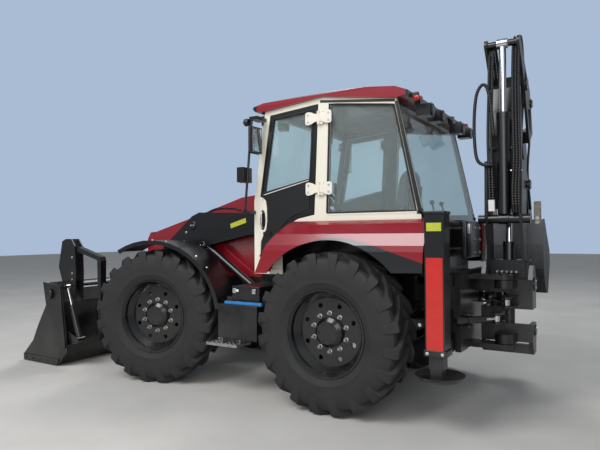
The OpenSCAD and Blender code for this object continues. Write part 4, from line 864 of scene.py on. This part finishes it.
class MACHINE_OT_hoe_trim(bpy.types.Operator):
    """Makes the digging arm's hoses, pipes, pin plates, valve block and teeth"""
    bl_idname = "machine.hoe_trim"
    bl_label = "Digging arm trim"

    def pin_plate(self, shell, o, z, t, r):
        """A pin's end plate with two bolts."""
        side = np.sign(t)
        lathe(shell, [(r, 0), (r, 0.008), (r * 0.88, 0.012)], hoe_spots([(o, t, z)]), (side, 0, 0))
        bolts(shell, hoe_spots([(o, t + side * 0.011, z + dz) for dz in (-r * 0.5, r * 0.5)]), (side, 0, 0),
              0.009, 0.008, 1)

    def boom_hoses(self, boom):
        """Hoses up the boom's near face, over its head and back, sleeved at their ends."""
        for k in range(3):
            t = -0.086 - 0.024 * k
            path = smooth_path(hoe_spots([
                (-0.005, t, 1.74), (-0.020, t, 1.95), (-0.005, t - 0.01, 2.20), (0.010, t - 0.005, 2.50),
                (0.035, t, 2.80), (0.060, t, 3.05), (0.10, t, 3.235), (0.17, t, 3.30), (0.24, t, 3.24),
                (0.30, t, 3.08), (0.34, t - 0.01, 2.96)]))
            tube(boom, path, hoses.radius, 12, 2)
            tube(boom, path[:4], hoses.radius * 1.25, 14)
            tube(boom, path[-5:], hoses.radius * 1.25, 14)
        for k in range(2):
            t = 0.084 + 0.026 * k
            path = smooth_path(hoe_spots([
                (0.02, t, 1.76), (0.0, t, 2.02), (0.012, t + 0.01, 2.4), (0.02, t, 2.8), (0.06, t, 3.08),
                (0.12, t, 3.22), (0.20, t, 3.24), (0.29, t, 3.10), (0.35, t, 2.97)]))
            tube(boom, path, hoses.radius, 12, 2)
            tube(boom, path[:5], hoses.radius * 1.25, 14, 3)
        # Wide loop that swings clear of the boom, with its swivel pipe
        loop = smooth_path(hoe_spots([
            (-0.02, 0.075, 2.16), (-0.03, 0.150, 2.165), (-0.035, 0.205, 2.22), (-0.035, 0.225, 2.40),
            (-0.035, 0.222, 2.62), (-0.035, 0.200, 2.79), (-0.030, 0.155, 2.865), (-0.025, 0.112, 2.83),
            (-0.020, 0.085, 2.66), (-0.010, 0.068, 2.42)]))
        tube(boom, loop, hoses.radius * 1.15, 12, 2)
        tube(boom, loop[:9], hoses.radius * 1.1, 14, 1)
        for z in (1.95, 2.30):
            rounded(boom, *hoe_spots([(0.118, -0.135, z), (0.100, 0.135, z + 0.03)]), 0.003)
        # Cross pipe beside the dipper's ram
        tube(boom, np.linspace(*hoe_spots([(0.02, -0.16, 2.105), (0.02, -0.063, 2.105)]), 5), 0.010, 12, 1)

    def teeth(self, tool):
        """Four teeth on the digging bucket's edge, two bolts on each."""
        pitch = (2 * 0.250 - 0.104) / 3
        tooth = [(0.5455, 1.640), (0.5745, 1.640), (0.5825, 1.720), (0.5745, 1.8622), (0.5595, 1.8622),
                 (0.5375, 1.72)]
        for k in range(4):
            t = -0.250 + 0.052 + k * pitch
            bolts(tool, hoe_spots([(0.545, t, 1.665), (0.540, t, 1.705)]), (0, 1, 0), 0.013, 0.010, 1)
            low, high = hoe_spots([(0, t - 0.0305, 0), (0, t + 0.0305, 0)])[:, 0]
            plate(tool, [(SLEW_AXIS[1] - o, z) for o, z in tooth], low, high, "yz", 0.004, 2)

    def execute(self, context):
        boom, dipper, post, tool = Shell(), Shell(), Shell(), Shell()
        # Pins: out from the slew axis, height, half width, radius of the plate
        for shell, o, z, t, r in ((boom, 0.300, 2.000, 0.170, 0.045), (dipper, 0.360, 2.920, 0.147, 0.060),
                                  (dipper, 0.605, 2.789, 0.147, 0.040), (post, 0.200, 1.120, 0.215, 0.060),
                                  (post, 0.200, 0.720, 0.215, 0.048), (tool, 1.080, 1.320, 0.170, 0.048),
                                  (tool, 0.940, 1.113, 0.170, 0.036)):
            for side in (1, -1):
                self.pin_plate(shell, o, z, side * t, r)
        self.boom_hoses(boom)
        self.teeth(tool)
        # Pipes clipped on the dipper's sides
        for side in (1, -1):
            for k in range(2):
                o = 0.03 * k
                pipe = [(0.50 + o, side * 0.152, 2.72), (0.56 + o, side * 0.135, 2.45),
                        (0.70 + o, side * 0.095, 2.15), (0.86 + o, side * 0.093, 1.80)]
                tube(dipper, smooth_path(hoe_spots(pipe)), 0.008, 10)
        # Valve block with its spool ends above the carriage, its corners in an order that draws its sides in
        rounded(post, *hoe_spots([(0.150, -0.110, 1.190), (0.290, 0.110, 1.262)]), 0.006)
        ports = hoe_spots([(0.150, -0.08 + 0.04 * i, 1.226) for i in range(5)])
        lathe(post, [(0.012, 0), (0.012, 0.018), (0.008, 0.03)], ports, (0, 1, 0), 12, 1)
        boom.build("boom_trim", ["black", "zinc", "hose", "white"], "boom", "black_paint")
        dipper.build("dipper_trim", ["black", "zinc"], "dipper", "black_paint")
        post.build("kingpost_trim", ["black", "zinc"], "kingpost", "black_paint")
        tool.build("bucket_tool_trim", ["black", "zinc", "steel"], "digging_bucket", "worn_grey_paint")
        return {"FINISHED"}


class MACHINE_OT_seat(bpy.types.Operator):
    """Makes the seat's cushions, crowned pads with drawn-in sides, and the box and tubes under them"""
    bl_idname = "machine.seat"
    bl_label = "Seat"

    def pad(self, half, power=0.32):
        """A pillow form: a ball whose sines and cosines are raised to a power, so its sides are near flat."""
        u = np.linspace(-np.pi / 2, np.pi / 2, 22)
        v = np.linspace(0, 2 * np.pi, 48, endpoint=False)

        def soft(a):
            return np.sign(a) * np.abs(a) ** power

        x = soft(np.cos(u))[:, None] * soft(np.cos(v))
        y = soft(np.cos(u))[:, None] * soft(np.sin(v))
        z = soft(np.sin(u))[:, None] + 0 * v
        crown = 1 - 0.18 * (x ** 2 + y ** 2) / 2
        return np.stack([x * half[0], y * half[1], z * half[2] * crown], -1)

    def execute(self, context):
        pads, base = Shell(), Shell()
        pads.grid(self.pad((0.255, 0.240, 0.056)) + spot(-0.045, 0, 1.618))
        # The back leans rearwards and narrows towards its top
        x, y, z = np.moveaxis(self.pad((0.050, 0.228, 0.300), 0.36), -1, 0)
        back = np.stack([x - 0.12 * (z + 0.3), y * (1 - 0.18 * (z > 0) * (z / 0.3) ** 2), z], -1)
        pads.grid(back + spot(-0.312, 0, 1.905))
        pads.build("seat_pads", ["cloth"], "chassis", "seat_cloth", 80)
        rounded(base, spot(-0.23, -0.16, 1.224), spot(0.13, 0.16, 1.555), 0.03)
        rounded(base, spot(-0.33, -0.235, 1.545), spot(0.20, 0.235, 1.578), 0.012)
        for side in (-1, 1):
            path = smooth_path(paired([(-0.36, 0.15, 1.58), (-0.395, 0.15, 1.75), (-0.43, 0.15, 2.05)], side))
            tube(base, path, 0.016)
        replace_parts(base.build("seat_base", ["plastic"], "chassis", "cab_plastic"), "seat")
        return {"FINISHED"}


class MACHINE_OT_stage(bpy.types.Operator):
    """Sets the floor, the soft lights, the sky and the camera"""
    bl_idname = "machine.stage"
    bl_label = "Stage"

    def camera(self):
        """The photograph's viewpoint: heading, pitch and roll in degrees, focal length in widths."""
        heading, pitch, roll = np.radians([31.56, 1.02, -0.38])
        ahead = np.array([np.sin(heading) * np.cos(pitch), -np.cos(heading) * np.cos(pitch), np.sin(pitch)])
        right = np.cross(ahead, [0, 0, 1])
        right /= np.linalg.norm(right)
        up = np.cross(right, ahead)
        right, up = np.cos(roll) * right + np.sin(roll) * up, -np.sin(roll) * right + np.cos(roll) * up
        data = bpy.data.cameras.new("view")
        data.sensor_width = 36.0
        data.lens = 36.0 * 542.2 / 600
        camera = bpy.data.objects.new("view", data)
        self.place(camera, right, up, -ahead, spot(-2.285, 5.252, 1.565))
        bpy.context.scene.camera = camera

    def place(self, thing, right, up, back, at):
        """Links an object, with its axes and its place."""
        thing.matrix_world = np.vstack([np.column_stack([right, up, back, at]), [0, 0, 0, 1]]).T.tolist()
        bpy.context.scene.collection.objects.link(thing)

    def lamp(self, name, place, aim, size, power):
        """A square area light that faces a height over the frame's origin."""
        data = bpy.data.lights.new(name, "AREA")
        data.size, data.energy = size, power
        self.place(bpy.data.objects.new(name, data), *basis(np.array(place) - [0, 0, aim]), place)

    def floor(self):
        """A level square of pale concrete."""
        mesh = bpy.data.meshes.new("floor")
        corners = [(x, y, -0.0005) for x, y in ((-40, -40), (40, -40), (40, 40), (-40, 40))]
        mesh.from_pydata(corners, [], [(3, 2, 1, 0)])
        mesh.materials.append(mottled("pale_concrete", ("#C6C3BE",), ("#B8B5B0",), (0.9, 8.0, 0.6),
                                      (0.3, 0.7, 1.0), 0.85))
        floor = bpy.data.objects.new("floor", mesh)
        bpy.context.scene.collection.objects.link(floor)

    def sky(self):
        """Soft light all round; the camera, and what it sees through glass, meet a pale blue instead."""
        world = bpy.data.worlds.new("studio")
        world.use_nodes = True
        tree = world.node_tree
        tree.nodes.clear()
        rays = add(tree, "LightPath", out=None).outputs
        direct = add(tree, "Math", MOST, i0=rays["Is Camera Ray"], i1=rays["Is Transmission Ray"])
        soft = add(tree, "Background", Color=linear("#DCE6F2"), Strength=0.42)
        pale = add(tree, "Background", Color=linear("#A9BCD4"), Strength=1.0)
        add(tree, "OutputWorld", i0=add(tree, "MixShader", i0=direct, i1=soft, i2=pale))
        bpy.context.scene.world = world

    def execute(self, context):
        self.floor()
        self.sky()
        self.lamp("key", (1.5, 8.5, 9.5), 1.0, 6.5, 950)
        self.lamp("fill", (-5.0, 9.0, 4.5), 1.2, 6.0, 330)
        self.lamp("rim", (2.0, -7.0, 11.0), 1.5, 4.0, 500)
        self.camera()
        context.scene.view_settings.view_transform = "Standard"
        return {"FINISHED"}


class MACHINE_PT_panel(bpy.types.Panel):
    """Lists the sizes and the pieces"""
    bl_idname = "MACHINE_PT_panel"
    bl_label = "Machine"
    bl_space_type = "VIEW_3D"
    bl_region_type = "UI"
    bl_category = "Machine"

    def draw(self, context):
        for name in GROUPS:
            group = getattr(context.scene, name)
            for key in group.__annotations__:
                self.layout.prop(group, key)
        for operator in OPERATORS:
            self.layout.operator(operator.bl_idname)


OPERATORS = (
    MACHINE_OT_stage, MACHINE_OT_finish_frame, MACHINE_OT_tyres, MACHINE_OT_wheel_trim, MACHINE_OT_cab_trim,
    MACHINE_OT_lamps, MACHINE_OT_tank_trim, MACHINE_OT_loader_trim, MACHINE_OT_rear_trim, MACHINE_OT_hoe_trim,
    MACHINE_OT_seat,
)
GROUPS = {"machine_tyres": TyreSizes, "machine_hoses": HoseSizes, "machine_paints": PaintColours}


def register():
    for name, group in GROUPS.items():
        bpy.utils.register_class(group)
        setattr(bpy.types.Scene, name, bpy.props.PointerProperty(type=group))
    for operator in OPERATORS:
        bpy.utils.register_class(operator)
    bpy.utils.register_class(MACHINE_PT_panel)


def unregister():
    bpy.utils.unregister_class(MACHINE_PT_panel)
    for operator in reversed(OPERATORS):
        bpy.utils.unregister_class(operator)
    for name, group in GROUPS.items():
        delattr(bpy.types.Scene, name)
        bpy.utils.unregister_class(group)


def main():
    """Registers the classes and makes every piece."""
    global paints, hoses
    register()
    paints = bpy.context.scene.machine_paints
    hoses = bpy.context.scene.machine_hoses
    for operator in OPERATORS:
        group, name = operator.bl_idname.split(".")
        getattr(getattr(bpy.ops, group), name)()


if __name__ == "__main__":
    main()
